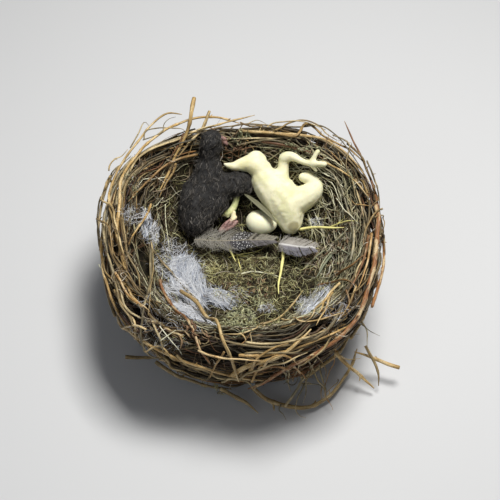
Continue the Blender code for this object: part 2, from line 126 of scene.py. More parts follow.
class Wire:
    """A shader socket in an expression."""

    __add__, __radd__ = operator("ADD")
    __sub__, __rsub__ = operator("SUBTRACT")
    __mul__, __rmul__ = operator("MULTIPLY")

    def __init__(self, paint, socket):
        self.paint, self.socket = paint, socket

    def rising(self, low, high, bottom=0.0, top=1.0):
        """Bottom below low, top above high, and smooth between them."""
        values = {"Value": self, "From Min": low, "From Max": high, "To Min": bottom, "To Max": top}
        return self.paint.node("MapRange", {"interpolation_type": "SMOOTHSTEP"}, values)

    def stretched(self, by):
        """A vector with each of its parts multiplied."""
        return self.paint.node("VectorMath", {"operation": "MULTIPLY"}, {0: self, 1: by})


def rgb(red, green, streak_shade):
    """A colour as a paint chart names it, from 0 to 255, in the linear light that shaders use."""
    parts = (c / 255 for c in (red, green, streak_shade))
    return (*(c / 12.92 if c <= 0.04045 else ((c + 0.055) / 1.055) ** 2.4 for c in parts), 1.0)


print("mid grey is", [round(part, 3) for part in rgb(128, 128, 128)], "in linear light")

# %% A material in the making
class Paint:
    """A material in the making."""

    def __init__(self, name, **constants):
        self.material = bpy.data.materials.new(name)
        self.material.use_nodes = True
        self.tree = self.material.node_tree
        self.shader = self.tree.nodes["Principled BSDF"]
        for socket, value in constants.items():
            self.shader.inputs[socket.replace("_", " ")].default_value = value

    def node(self, kind, settings, sockets, output=0):
        """A new node: its settings first, then the values or wires of its sockets."""
        made = self.tree.nodes.new("ShaderNode" + kind)
        for key, value in settings.items():
            if key == "stops":
                self.fill(made.color_ramp, value)
            else:
                setattr(made, key, value)
        for key, value in sockets.items():
            self.plug(made.inputs[key], value)
        return Wire(self, made.outputs[output])

    def fill(self, ramp, stops):
        """Gives a colour ramp its stops, each as (place, colour)."""
        while len(ramp.elements) < len(stops):
            ramp.elements.new(0.5)
        for element, (at, colour) in zip(ramp.elements, stops):
            element.position, element.color = at, colour

    def plug(self, socket, value):
        """Puts a wire or a plain value into a socket."""
        if isinstance(value, Wire):
            self.tree.links.new(value.socket, socket)
        else:
            socket.default_value = value

    def maths(self, operation, *values):
        """A Math node."""
        return self.node("Math", {"operation": operation}, dict(enumerate(values)))

    def fact(self, name, vector=False):
        """What the mesh says of itself under that name, such as a twig's tone."""
        settings = {"attribute_name": name}
        return self.node("Attribute", settings, {}, "Vector" if vector else "Fac")

    def stem(self):
        """What the stems of a bundle say of themselves: tone, wear and painted shade, and grain."""
        return self.fact("tone"), self.fact("wear"), self.fact("grain", vector=True)

    def place(self):
        """Where on its object each point lies."""
        return self.node("TexCoord", {}, {}, "Object")

    def noise(self, vector, scale=1.0, detail=3.0, rough=0.6, warp=0.0):
        """Soft random blotches, from 0 to 1."""
        values = {"Vector": vector, "Scale": scale, "Detail": detail, "Roughness": rough, "Distortion": warp}
        return self.node("TexNoise", {}, values)

    def ramp(self, factor, *colours):
        """Colours spread evenly over the factor, from 0 to 1."""
        stops = [(i / (len(colours) - 1), colour) for i, colour in enumerate(colours)]
        return self.node("ValToRGB", {"stops": stops}, {"Fac": factor})

    def mix(self, mask, under, over, how="MIX"):
        """Two colours: over shows where the mask is 1."""
        settings = {"data_type": "RGBA", "blend_type": how, "clamp_result": True}
        return self.node("Mix", settings, {0: mask, 6: under, 7: over}, 2)

    def lit(self, colour, light):
        """A colour times a number, which goes from dark to bright."""
        grey = self.node("CombineColor", {}, {0: light, 1: light, 2: light})
        return self.mix(1.0, colour, grey, "MULTIPLY")

    def bump(self, height, distance, strength):
        """The surface's normal over a relief that is so many metres deep."""
        values = {"Height": height, "Distance": distance, "Strength": strength}
        return self.node("Bump", {}, values, "Normal")

    def finish(self, **wires):
        """Connects what varies, and gives the material."""
        for socket, value in wires.items():
            self.plug(self.shader.inputs[socket.replace("_", " ")], value)
        return self.material


print("a finish is made with", [name for name in vars(Paint) if not name.startswith("_")])

# %% Floor
FLOOR_HALF = 6.0

floor = bpy.data.meshes.new("floor")
floor_corners = [(x * FLOOR_HALF, y * FLOOR_HALF, 0) for x, y in ((-1, -1), (1, -1), (1, 1), (-1, 1))]
floor.from_pydata(floor_corners, [], [(0, 1, 2, 3)])
floor.materials.append(Paint("floor", Base_Color=rgb(205, 206, 208), Roughness=0.75).material)
shown("floor", floor)
print("a floor", 2 * FLOOR_HALF, "metres wide")

# %% [markdown]
# ## The nest's form
#
# The solids were turned from one section and pulled out of round. The same few lines are repeated
# here over whole arrays of points, so that thousands of stems can be laid on the surface at once. A
# place on the nest is an angle in degrees, an arc in millimetres along the section, and a lift over
# the surface.

# %% The section
RADIUS, HEIGHT = 128.0, 125.0
SECTION = np.array([
    (0.656, 0.000), (0.773, 0.072), (0.859, 0.272), (0.938, 0.544), (1.000, 0.800), (0.992, 0.928),
    (0.906, 1.000), (0.812, 0.960), (0.727, 0.800), (0.617, 0.632), (0.406, 0.528), (0.000, 0.488),
]) * (RADIUS, HEIGHT)


def between(points, at):
    """The smooth curve through the points, where at counts along them."""
    last = len(points) - 1
    at = min(max(at, 0.0), float(last))
    first = min(int(at), last - 1)
    t = at - first
    a, b, c, d = (points[min(max(first + k, 0), last)] for k in (-1, 0, 1, 2))
    return 0.5 * (2 * b + (c - a) * t + (2 * a - 5 * b + 4 * c - d) * t**2 + (3 * b - a - 3 * c + d) * t**3)


def far_along(line):
    """How far along a line each of its points lies."""
    return np.concatenate([[0.0], np.linalg.norm(np.diff(line, axis=0), axis=1).cumsum()])


STATIONS = np.linspace(0, 11, 881)
TRACK = np.array([between(SECTION, s) for s in STATIONS])
ARCS = far_along(TRACK)
SLOPE = np.gradient(TRACK, axis=0)
OUTWARD = np.stack([SLOPE[:, 1], -SLOPE[:, 0]], 1) / np.linalg.norm(SLOPE, axis=1)[:, None]


def arc_at(station):
    """How far along the section, in millimetres, one of its numbered corners or a place between lies."""
    return np.interp(station, STATIONS, ARCS)


def reach_at(arc):
    """The round nest's radius there, in millimetres."""
    return np.interp(arc, ARCS, TRACK[:, 0])


print("section", round(float(ARCS[-1])), "mm long; rim at arc", round(float(arc_at(6))))

# %% The surface
CUP_SHIFT, CUP_SHARE = (8.0, -4.0), 0.9  # how far the cup is off the middle, and out to what share
CORNERS = (0.028, math.radians(47.0))  # how much wider the four rounded corners are, and where
FULLER = (0.015, math.radians(60.0))  # how much fuller one side is, and where
BACK_RISE = 0.05


def surface(degrees, arc, lift=0):
    """Points on the nest, or so many millimetres over it, in metres."""
    r = reach_at(arc) + lift * np.interp(arc, ARCS, OUTWARD[:, 0])
    z = np.interp(arc, ARCS, TRACK[:, 1]) + lift * np.interp(arc, ARCS, OUTWARD[:, 1])
    angle = np.radians(degrees)
    grow = 1 + CORNERS[0] * np.cos(4 * (angle - CORNERS[1])) + FULLER[0] * np.cos(angle - FULLER[1])
    inward = np.maximum(0.0, 1 - np.abs(r) / RADIUS / CUP_SHARE)
    x, y = r * np.cos(angle), r * np.sin(angle)
    rise = BACK_RISE * z**2 / HEIGHT * y / RADIUS
    return np.stack([x * grow + CUP_SHIFT[0] * inward, y * grow + CUP_SHIFT[1] * inward, z + rise], -1) * MM


print("the rim at the front lies at", np.round(surface(270, arc_at(6)) / MM, 1), "mm")

# %% [markdown]
# ## What carries a piece
#
# Some pieces are placed by where they show in the photograph. A ray from the camera through that
# pixel meets the solids, and the piece is put on the spot that it meets.
# So it rests on what carries it and looks right from every side.

# %% Rays from the photograph
def solid_tree(*nodes, meshes=()):
    """Some of the packed solids, and other meshes, as one shape to find rays' ends and near points on."""
    points, faces = [], []
    for mesh in [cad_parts[node].data for node in nodes] + list(meshes):
        first = len(points)
        points += [v.co.copy() for v in mesh.vertices]
        faces += [[first + i for i in face.vertices] for face in mesh.polygons]
    return BVHTree.FromPolygons(points, faces)


NEST_FROM_CAMERA = np.linspace(0.85, 1.25, 41)  # metres
BOWL = solid_tree("twig_wall", "cup_lining")
EVERYTHING = solid_tree(*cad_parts)


def sight(x, y):
    """The camera's ray through a pixel of the 500 by 500 picture."""
    across = ((x - PICTURE / 2) / PICTURE + SHIFT[0]) * SENSOR / LENS
    up = ((PICTURE / 2 - y) / PICTURE + SHIFT[1]) * SENSOR / LENS
    return camera.location, (camera.matrix_world.to_3x3() @ Vector((across, up, -1.0))).normalized()


def seen(x, y, tree=BOWL):
    """Where that pixel's ray meets the nest, or None."""
    return tree.ray_cast(*sight(x, y))[0]


def passing(x, y, tree=BOWL):
    """Where a ray that misses the nest passes closest to it."""
    start, way = sight(x, y)
    spots = [start + way * far for far in NEST_FROM_CAMERA]
    return min(spots, key=lambda spot: tree.find_nearest(spot)[3])


print("the middle of the picture lies at", seen(250, 260))

# %% [markdown]
# ## Stems
#
# Twigs, grass, rootlets, hairs and barbs are all stems: a centre line with a radius at each point.
# One function turns thousands of them into a single mesh. Each stem keeps a tone, a value of wear and
# painted shade, and a grain in the mesh, so that one finish can colour them all differently, with its
# streaks running along each one. They also get a flat layout of their own, a strip for each stem. Curve
# objects with a bevel would make the same tubes, but they are slow by the thousand and carry no such notes.

# %% Random numbers and directions
noise.seed_set(1)  # or the noise vectors would start from the clock


def dice(name):
    """Random numbers that are the same on every run."""
    return np.random.default_rng(sum(ord(letter) * (i + 1) for i, letter in enumerate(name)))


def unit(vectors):
    """Directions: the vectors, each with a length of 1."""
    return vectors / np.maximum(np.linalg.norm(vectors, axis=-1, keepdims=True), 1e-12)


def frames(points, wide):
    """Two directions across each stem: the first as wide gives it, or turning as little as it can."""
    along = unit(np.gradient(points, axis=1))
    if wide is not None:
        side = unit(wide - along * (wide * along).sum(2, keepdims=True))
        return side, np.cross(along, side)
    side = np.zeros_like(points)
    start = np.cross(along[:, 0], (0.31, 0.52, 0.79))
    side[:, 0] = unit(start)
    for i in range(1, points.shape[1]):
        held = side[:, i - 1] - along[:, i] * (side[:, i - 1] * along[:, i]).sum(1, keepdims=True)
        side[:, i] = unit(held)
    return side, np.cross(along, side)


print("the first throw for bark is", round(float(dice("bark").random()), 3))

# %% Faces and layout of a batch of stems
STRIP = (0.92, 0.8)  # how much of its cell of the layout a stem's strip fills


def faces_of(many, rings, sides):
    """Corner numbers of one batch: the sides as quads, and a fan of triangles on each end."""
    stem = np.arange(many)[:, None, None] * (rings * sides + 2)
    ring, side = np.arange(rings - 1)[None, :, None], np.arange(sides)[None, None, :]
    after = (side + 1) % sides
    a, b = stem + ring * sides + side, stem + ring * sides + after
    quads = np.stack([a, b, b + sides, a + sides], -1).reshape(-1, 4)
    first, side = stem[:, 0], np.arange(sides)[None, :]
    after, far, middle = (side + 1) % sides, (rings - 1) * sides, first + rings * sides + 0 * side
    butt = np.stack([first + after, first + side, middle], -1)
    tip = np.stack([first + far + side, first + far + after, middle + 1], -1)
    return quads, np.concatenate([butt.reshape(-1, 3), tip.reshape(-1, 3)])


def layout_of(many, rings, sides, columns, rows, base):
    """A strip of the flat layout for each stem: along it to the right, and round it upwards."""
    cell = base + np.arange(many)
    left, low = (cell % columns) / columns, (cell // columns) / rows

    def placed(u, v):
        """The same corners of every stem, in its cell."""
        u, v = (share.reshape(1, -1) for share in np.broadcast_arrays(u, v))
        spots = np.stack([left[:, None] + STRIP[0] / columns * u, low[:, None] + STRIP[1] / rows * v], -1)
        return spots.reshape(-1, 2)

    ring, side = np.arange(rings - 1)[:, None, None], np.arange(sides)[:, None]
    quads = placed((ring + (0.5, 0.5, 1.5, 1.5)) / rings, (side + (0, 1, 1, 0)) / sides)
    butt = placed(np.array((0.5, 0.5, 0.0)) / rings, (side + (1, 0, 0.5)) / sides)
    tip = placed(np.array((rings - 0.5, rings - 0.5, rings)) / rings, (side + (0, 1, 0.5)) / sides)
    return quads, np.concatenate([butt, tip])


def capped(rings, ends):
    """Values of every corner of each stem's rings, and then of the middles of its two ends."""
    every = np.concatenate([rings.reshape(len(rings), -1, ends.shape[-1]), ends], 1)
    return every.reshape(-1, ends.shape[-1])


print("a stem of 8 rings and 6 sides has", len(faces_of(1, 8, 6)[0]), "quads")

# %% Bundles of stems
class Bundle:
    """Stems that are gathered into one mesh."""

    def __init__(self, name):
        self.name, self.batches = name, []

    def add(self, points, radii, sides=6, tone=0.5, wear=0.5, flat=1.0, wide=None, field=None):
        """Stems of one length in points. flat is how thick they are the second way across, wide which
        way the first is, and field a place in some pattern for each point, instead of its grain."""
        points = np.asarray(points, float)
        shape = points.shape[:2]
        tone, wear = (np.broadcast_to(v if np.ndim(v) == 2 else np.reshape(v, (-1, 1)), shape)
                      for v in (tone, wear))
        wide = None if wide is None else np.broadcast_to(wide, points.shape)
        self.batches.append((points, np.broadcast_to(radii, shape), sides, tone, wear, flat, wide, field))

    def made(self, finish, slot, *replaced):
        """One mesh of all the stems, dressed."""
        total = sum(len(batch[0]) for batch in self.batches)
        columns = max(1, round(math.sqrt(total) / 3))
        rows = math.ceil(total / columns)
        spots, facts, quads, fans, quad_uv, fan_uv = ([] for _ in range(6))
        base = stems = 0
        rng = dice(self.name + "grain")
        for points, radii, sides, tone, wear, flat, wide, field in self.batches:
            many, rings = radii.shape
            across, over = frames(points, wide)
            swing = np.arange(sides) * math.tau / sides
            out = across[:, :, None] * np.cos(swing)[:, None]
            out = out + flat * over[:, :, None] * np.sin(swing)[:, None]
            spots.append(capped(points[:, :, None] + radii[:, :, None, None] * out, points[:, [0, -1]]))
            length = np.linalg.norm(np.diff(points, axis=1), axis=2).cumsum(1)
            length = np.concatenate([np.zeros((many, 1)), length], 1)[:, :, None] + 0 * swing
            round_it = [radii[:, :, None] * np.cos(swing), radii[:, :, None] * np.sin(swing)]
            grain = np.stack([length, *round_it], -1) + rng.random((many, 1, 1, 3)) * 3
            if field is not None:
                grain = np.repeat(field[:, :, None], sides, axis=2)
            tone, wear = (capped(np.repeat(v, sides, axis=1), v[:, [0, -1], None]) for v in (tone, wear))
            facts.append(np.concatenate([tone, wear, capped(grain, grain[:, [0, -1], 0])], 1))
            for kept, value in zip((quads, fans), faces_of(many, rings, sides)):
                kept.append(value + base)
            for kept, value in zip((quad_uv, fan_uv), layout_of(many, rings, sides, columns, rows, stems)):
                kept.append(value)
            base += many * (rings * sides + 2)
            stems += many
        mesh = meshed(self.name, *(np.concatenate(part) for part in (spots, quads, fans, quad_uv + fan_uv)))
        tone, wear, grain = np.split(np.concatenate(facts).astype(np.float32), [1, 2], 1)
        for name, kind, key, value in (("tone", "FLOAT", "value", tone), ("wear", "FLOAT", "value", wear),
                                       ("grain", "FLOAT_VECTOR", "vector", grain)):
            mesh.attributes.new(name, kind, "POINT").data.foreach_set(key, value.ravel())
        mesh.update(calc_edges=True)
        mesh.shade_smooth()
        dressed(self.name, mesh, finish, slot, *replaced)


print("a bundle keeps its", list(vars(Bundle("trial"))))

# %% Meshes and pieces
def meshed(name, spots, four, three, layout):
    """A mesh of quads and then triangles, with its flat layout."""
    mesh = bpy.data.meshes.new(name)
    mesh.vertices.add(len(spots))
    mesh.vertices.foreach_set("co", spots.astype(np.float32).ravel())
    mesh.loops.add(four.size + three.size)
    corners = np.concatenate([four.ravel(), three.ravel()])
    mesh.loops.foreach_set("vertex_index", corners.astype(np.int32))
    mesh.polygons.add(len(four) + len(three))
    starts = np.concatenate([np.arange(len(four)) * 4, four.size + np.arange(len(three)) * 3])
    mesh.polygons.foreach_set("loop_start", starts.astype(np.int32))
    mesh.uv_layers.new(name="OFBake").data.foreach_set("uv", layout.astype(np.float32).ravel())
    return mesh


def dressed(name, mesh, finish, slot, *replaced):
    """A new piece of the nest, in its finish, in the place of the packed nodes that it stands for."""
    obj = shown(name, mesh)
    mesh.materials.append(finish)
    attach(obj, BODY)
    if replaced:
        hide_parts(*replaced)
    print(f"{name}: {len(mesh.vertices)} points, {len(mesh.polygons)} faces")


print("every piece moves with", BODY)

# %% [markdown]
# ## Bark
#
# Most twigs are tan or golden, some are grey and weathered and some have a reddish skin. Bark is not
# one colour: fine fibres run along it, thin skin peels off and leaves paler wood, and dark specks show
# where buds were. Painted shade darkens the twigs that lie deep in the pile, and painted highlights and
# shadows lie in blotches along each twig. The finish reads each stem's tone and its value of wear and
# painted shade, and stretches its noise along the grain.

# %% Bark finishes
def bark(name, *tones):
    """Bark whose colour runs through the tones from grey to reddish as a stem's tone goes up, made brighter
    or darker by painted light and shade.
    """
    paint = Paint(name, Specular_IOR_Level=0.5)
    tone, wear, grain = paint.stem()
    fibres = paint.noise(grain.stretched((90, 2600, 2600)), 1.0, 4.0, 0.6)
    patches = paint.noise(grain.stretched((55, 260, 260)))
    specks = paint.noise(grain.stretched((700, 1500, 1500)), 1.0, 2.0, 0.5)
    skin = paint.ramp(tone + patches * 0.40 - 0.20, *tones)
    dark = paint.mix(fibres.rising(0.42, 0.64, 0.0, 0.7), skin, rgb(70, 50, 32), "MULTIPLY")
    peeled = paint.mix((patches + wear * 0.22).rising(0.66, 0.80, 0.0, 0.6), dark, rgb(206, 188, 146))
    pitted = paint.mix(specks.rising(0.58, 0.68, 0.0, 0.75), peeled, rgb(52, 36, 24))
    # Painted light and shade: darker where a twig lies deep or is dim, with painted highlights and shadows in
    # blotches along it.
    light = (wear + patches * 0.5 - 0.25).rising(0.0, 1.0, 0.13, 1.3)
    return paint.finish(Base_Color=paint.lit(pitted, light), Roughness=fibres.rising(0.3, 0.7, 0.46, 0.72),
                        Normal=paint.bump(fibres * 0.6 + specks * 0.4, 0.22 * MM, 0.9))


GREY_BARK, TAN_BARK, GOLDEN_BARK = rgb(146, 140, 116), rgb(170, 148, 102), rgb(190, 156, 96)
ORANGE_BARK, RED_BARK = rgb(166, 114, 64), rgb(112, 72, 50)
TWIG_BARK = bark("twig_bark", GREY_BARK, TAN_BARK, GOLDEN_BARK, ORANGE_BARK, RED_BARK)
TONES = {"grey": 0.08, "tan": 0.30, "golden": 0.46, "brown": 0.82}
print("bark is one finish for", TONES)

# %% [markdown]
# ## The wall's dark heart
#
# Between the outer twigs of a real nest one looks into a dark mat of crushed stems, leaf crumbs and
# earth. It is one closed body, almost a centimetre inside the wall's surface, with a lumpy skin, and its
# near-black colour is partly painted shade, for the shadow deep inside the wall. It is turned from the
# same section, and everything else is laid over it. Where the photograph shows a dark gap, the heart has
# a hollow and the twigs part round it. A gap painted on in black would be seen through from the side, so
# each one is real depth, with painted shade darkening its bottom.

# %% Depths and lumps
HEART = 8.5  # millimetres
CUP_FROM = arc_at(6.9)


def heart_depth(arc):
    """How deep under the surface the dark heart lies, in millimetres."""
    arcs = [arc_at(0), arc_at(0.8), CUP_FROM, arc_at(7.5), arc_at(8.2)]
    return np.interp(arc, arcs, [1.0, HEART, HEART, 3.5, 1.2])


def lumps(points, size, height):
    """A smooth random height for each point, in the unit of height."""
    heights = [noise.fractal(Vector(p) / size, 0.8, 2.1, 3) for p in points.reshape(-1, 3)]
    return np.reshape(heights, points.shape[:-1]) * height


print("the heart lies", HEART, "mm deep at half height")

# %% Hollows between the twigs
HOLLOWS = [  # degrees round the nest, station along the section, half length and half height in mm
    (284, 2.2, 18, 12), (224, 5.3, 11, 8), (210, 4.8, 20, 7), (136, 6.4, 17, 9), (316, 3.4, 9, 10),
    (275, 5.3, 13, 5), (192, 7.8, 24, 12), (337, 4.9, 14, 5), (301, 5.8, 9, 5), (327, 4.3, 13, 7),
    (265, 3.5, 7, 6), (226, 3.0, 8, 6), (252, 3.9, 8, 4), (219, 3.4, 6, 8), (289, 6.6, 9, 4), (60, 6.4, 7, 4),
    (243, 3.4, 7, 4), (288, 4.5, 7, 4), (34, 8.0, 7, 5), (22, 5.2, 9, 4), (179, 6.8, 6, 4), (297, 3.9, 9, 5),
]
DEPTH_SHARE = 1.2  # how deep a hollow is, for its half height


def beside(degrees, at):
    """How far round the nest those degrees are from a place, in millimetres."""
    return np.radians((degrees - at + 180) % 360 - 180) * RADIUS


def hollowed(degrees, arc):
    """How near each place is to the middle of a hollow, from 0 to 1, and how deep it is in millimetres."""
    near = [np.exp(-((beside(degrees, at) / long) ** 2) - ((arc - arc_at(station)) / high) ** 2)
            for at, station, long, high in HOLLOWS]
    return np.max(near, 0), sum(DEPTH_SHARE * hollow[3] * share for hollow, share in zip(HOLLOWS, near))


print(len(HOLLOWS), "hollows, at most", round(DEPTH_SHARE * max(h[3] for h in HOLLOWS), 1), "mm deep")

# %% The heart
def lathed(name, points, deep=None):
    """The closed mesh of a grid of points round an axis, with a middle at each of its two ends. deep says
    for each point how far it lies in a hollow."""
    rows, columns = points.shape[:2]
    verts = np.concatenate([points.reshape(-1, 3), [points[:, -1].mean(0), points[:, 0].mean(0)]])
    i, j = np.meshgrid(np.arange(rows), np.arange(columns - 1), indexing="ij")
    here, after = i * columns + j, (i + 1) % rows * columns + j
    faces = np.stack([here, after, after + 1, here + 1], -1).reshape(-1, 4).tolist()
    middle = rows * columns
    for k in range(rows):
        this, follow = k * columns, (k + 1) % rows * columns
        faces += [[this + columns - 1, follow + columns - 1, middle], [follow, this, middle + 1]]
    mesh = bpy.data.meshes.new(name)
    mesh.from_pydata(verts.tolist(), [], faces)
    if deep is not None:
        mesh.attributes.new("deep", "FLOAT", "POINT").data.foreach_set("value", [*deep.ravel(), 0, 0])
    mesh.shade_smooth()
    return mesh


def heart():
    """The closed dark body, from the foot to the middle of the cup."""
    degrees, arc = np.meshgrid(np.linspace(0, 360, 160, endpoint=False), np.linspace(0, ARCS[-1] - 1.0, 66),
                               indexing="ij")
    near, sunk = hollowed(degrees, arc)
    deep = heart_depth(arc) + sunk * (arc > arc_at(1))
    rough = lumps(surface(degrees, arc, -deep), 0.006, 1.6)
    points = surface(degrees, arc, np.minimum(rough, heart_depth(arc) * 0.6) * (arc > 8) - deep)
    points[:, 0, 2] = 0.3 * MM
    return lathed("wall_heart", points, near)


def crushed_and_shaded(name, dark, light, scale=420.0):
    """Crushed plant matter: short tangled flecks of pale stem in earth-dark crumbs, with painted shade in the
    bottoms of hollows.
    """
    paint = Paint(name, Specular_IOR_Level=0.2)
    where = paint.place()
    bent = paint.noise(where, 160.0, warp=2.2)
    flecks = paint.noise(where, scale, 4.0, 0.6, 3.5)
    colour = paint.mix(flecks.rising(0.47, 0.64, 0.0, 0.9), dark, light)
    colour = paint.mix(bent.rising(0.35, 0.6, 0.75, 0.0), colour, rgb(22, 18, 13), "MULTIPLY")
    # Painted shade: the bottom of each hollow is darkened nearly to black.
    colour = paint.mix(paint.fact("deep").rising(0.05, 0.6, 0.0, 0.9), colour, rgb(14, 12, 9))
    return paint.finish(Base_Color=colour, Roughness=flecks.rising(0.2, 0.8, 0.95, 0.8),
                        Normal=paint.bump(flecks * 0.6 + bent * 0.4, 1.2 * MM, 1.0))


# The heart's near-black colour is partly painted shade, for the shadow deep inside the wall.
CRUSHED_STEMS_IN_SHADE = crushed_and_shaded("crushed_stems", rgb(26, 21, 15), rgb(74, 60, 38))
dressed("wall_heart", heart(), CRUSHED_STEMS_IN_SHADE, "wall", "twig_wall")

# %% [markdown]
# ## The twigs that can be told apart
#
# Each of these twigs is a solid of its own in the packed model, as a plain six-sided tube. Its centre
# line can be read back from that tube: the corners are sorted by how far it is to walk to them along
# the edges from one end, and every six of them are a ring. A finished twig is grown round that line,
# with buds that swell it, small bends along it, a slightly narrowed butt end and a thin tip.

# %% Reading a twig's centre line
RING = 6
SAME_SPOT = 0.001 * MM
TWIGS = sorted(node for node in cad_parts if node.startswith("twig_") and node != "twig_wall")


def walked(links, start):
    """How far it is to walk from a corner to each other one."""
    reached, waiting = {}, [(0.0, start)]
    while waiting:
        far, at = heapq.heappop(waiting)
        if at in reached:
            continue
        reached[at] = far
        for other, step in links[at].items():
            if other not in reached:
                heapq.heappush(waiting, (far + step, other))
    return reached


def centre_line(node):
    """The middle and radius of each ring of a packed stem, from its thick end."""
    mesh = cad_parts[node].data
    corners = np.array([v.co for v in mesh.vertices])
    _, first, same = np.unique(np.round(corners / SAME_SPOT).astype(np.int64), axis=0, return_index=True,
                               return_inverse=True)
    spots, same = corners[first], same.reshape(-1)
    links = [{} for _ in spots]
    for face in mesh.polygons:
        turn = [same[i] for i in face.vertices]
        for a, b in zip(turn, turn[1:] + turn[:1]):
            links[a][b] = links[b][a] = float(np.linalg.norm(spots[a] - spots[b]))
    reached = walked(links, 0)
    reached = walked(links, max(reached, key=reached.get))
    rings = spots[sorted(reached, key=reached.get)].reshape(-1, RING, 3)
    middles = rings.mean(1)
    radii = np.linalg.norm(rings - middles[:, None], axis=2).mean(1)
    return (middles, radii) if radii[0] > radii[-1] else (middles[::-1], radii[::-1])


print("hoop_right is", [round(r / MM, 2) for r in centre_line("twig_hoop_right")[1]], "mm thick along it")

# %% Growing a twig
STEP = 2.2 * MM
BUD_GAPS, BUD_WIDTH = (0.012, 0.038), 1.7 * MM
BENDS, KINKS, UNEVEN, SWELLING = 0.16, 0.05, 0.05, 0.26  # shares of the twig's thickness


def resampled(points, radii, step):
    """The smooth line through the points, with a point every step."""
    line = [Vector((*p, r)) for p, r in zip(points, radii)]
    fine = np.array([between(line, i / 10) for i in range(10 * (len(line) - 1) + 1)])
    far = far_along(fine[:, :3])
    wanted = np.linspace(0, far[-1], max(4, round(far[-1] / step) + 1))
    return np.stack([np.interp(wanted, far, fine[:, k]) for k in range(4)], 1), wanted


def wandering(rng, count, smooth):
    """Smooth random numbers along a stem, of about unit size."""
    raw = rng.normal(size=(count + 2 * smooth, 3))
    kernel = np.hanning(2 * smooth + 1)
    kernel /= np.linalg.norm(kernel)
    return np.stack([np.convolve(raw[:, k], kernel, "valid") for k in range(3)], 1)


def grown(bundle, points, radii, rng, tone, wear, sides=8, knot=1.0):
    """Adds one detailed twig to a bundle: buds, bends, side stubs and worn ends."""
    line, far = resampled(points, radii, STEP)
    centre, thick = line[:, :3].copy(), line[:, 3].copy()
    count = len(thick)
    bent, kinked = wandering(rng, count, 7) * BENDS, wandering(rng, count, 3) * KINKS
    centre += bent * thick[:, None] + kinked * thick[:, None]
    thick *= 1 + UNEVEN * wandering(rng, count, 2)[:, 0]
    buds = np.cumsum(rng.uniform(*BUD_GAPS, 40))
    buds = buds[buds < far[-1] - 0.006]
    for bud in buds:
        swell = np.exp(-(((far - bud) / BUD_WIDTH) ** 2))
        thick *= 1 + SWELLING * knot * rng.uniform(0.5, 1.3) * swell
    thick *= np.interp(far, [0, 1.0 * MM, far[-1] - 14 * MM, far[-1]], [0.86, 1.0, 1.0, 0.45])
    bundle.add(centre[None], thick[None], sides, tone, wear)
    directions = unit(np.gradient(centre, axis=0))
    for bud in buds:
        if rng.random() > 0.42 * knot:
            continue
        at = int(np.argmin(abs(far - bud)))
        out = unit(np.cross(directions[at], rng.normal(size=3)))
        long = rng.uniform(1.2, 3.4) * thick[at]
        way = unit(out + directions[at] * rng.uniform(0.2, 0.9))
        stub = centre[at] + out * 0.3 * thick[at] + way * np.linspace(0, long, 4)[:, None]
        bundle.add(stub[None], thick[at] * np.array([[0.55, 0.42, 0.34, 0.16]]), 5, tone, wear)


for node in TWIGS:
    name = node.replace("twig_", "bark_")
    rng, bundle = dice(name), Bundle(name)
    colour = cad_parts[node].data.materials[0].name.split(".")[0]
    # Painted light: golden twigs are painted brighter than the others, and each twig's brightness varies at
    # random.
    painted_brightness = rng.uniform(0.7, 1.0) if colour == "golden" else rng.uniform(0.35, 0.9)
    grown(bundle, *centre_line(node), rng, TONES[colour] + rng.uniform(-0.1, 0.1), painted_brightness)
    bundle.made(TWIG_BARK, colour, node)

# %% [markdown]
# ## The weave
#
# The bird pushes each twig into the pile and tucks its end under others, so twigs lie on each other
# and follow the nest's round. That is copied here: a map over the surface holds how high the pile has
# grown. A new twig is laid along a gently wandering course, comes to rest on the highest thing under
# it, is smoothed as a springy twig would be, and is added to the map. Where the pile has reached the
# wall's surface no more twigs are laid. Twigs that lie deep are darkened in their finish too, as painted
# shade. A physics simulation of so many stems would take hours and give no say in where they lie.

# %% The pile
CELL = 1.5  # millimetres along the section
TURN_CELLS = 720
NOTHING = -99  # a height below everything


class Pile:
    """How high the stems lie over the surface, in millimetres, by half degrees and arc cells."""

    def __init__(self):
        self.cells = int(ARCS[-1] / CELL) + 1
        arcs = np.arange(self.cells) * CELL
        self.top = np.repeat(0.6 - heart_depth(arcs)[None], TURN_CELLS, axis=0)

    def foot(self, degrees, arc, radius):
        """The cells under each point of a stem, and how high the stem's side is over each."""
        wide = np.maximum(reach_at(arc), 20.0) * math.pi / 360
        across = np.arange(-3, 4)
        up = np.arange(-2, 3)
        column = np.round(degrees * 2).astype(int)[:, None, None] + across[:, None]
        row = np.clip(np.round(arc / CELL).astype(int)[:, None, None] + up, 0, self.cells - 1)
        apart = (across[:, None] * wide[:, None, None]) ** 2 + (up * CELL) ** 2
        high = np.sqrt(np.maximum(radius[:, None, None] ** 2 - apart, 0))
        column, row = np.broadcast_arrays(column % TURN_CELLS, row)
        return column, row, high, apart <= (radius[:, None, None] + 0.3) ** 2

    def rest(self, degrees, arc, radius):
        """How high each point of a stem comes to lie."""
        column, row, high, under = self.foot(degrees, arc, radius)
        return np.where(under, self.top[column, row] + high, NOTHING).max((1, 2))

    def bury(self, degrees, arc, radius, lift):
        """Adds a stem to the pile."""
        column, row, high, under = self.foot(degrees, arc, radius)
        value = np.where(under, lift[:, None, None] + high, NOTHING)
        np.maximum.at(self.top, (column, row), value)


PILE = Pile()
print("the pile has", PILE.top.size, "cells")

# %% Courses over the surface
def eased(values, reach):
    """The highest value nearby, smoothed: how a springy stem bridges what is under it."""
    padded = np.pad(values, reach, mode="edge")
    high = np.lib.stride_tricks.sliding_window_view(padded, 2 * reach + 1).max(1)
    padded = np.pad(high, reach, mode="edge")
    kernel = np.hanning(2 * reach + 3)[1:-1]
    return np.convolve(padded, kernel / kernel.sum(), "valid")


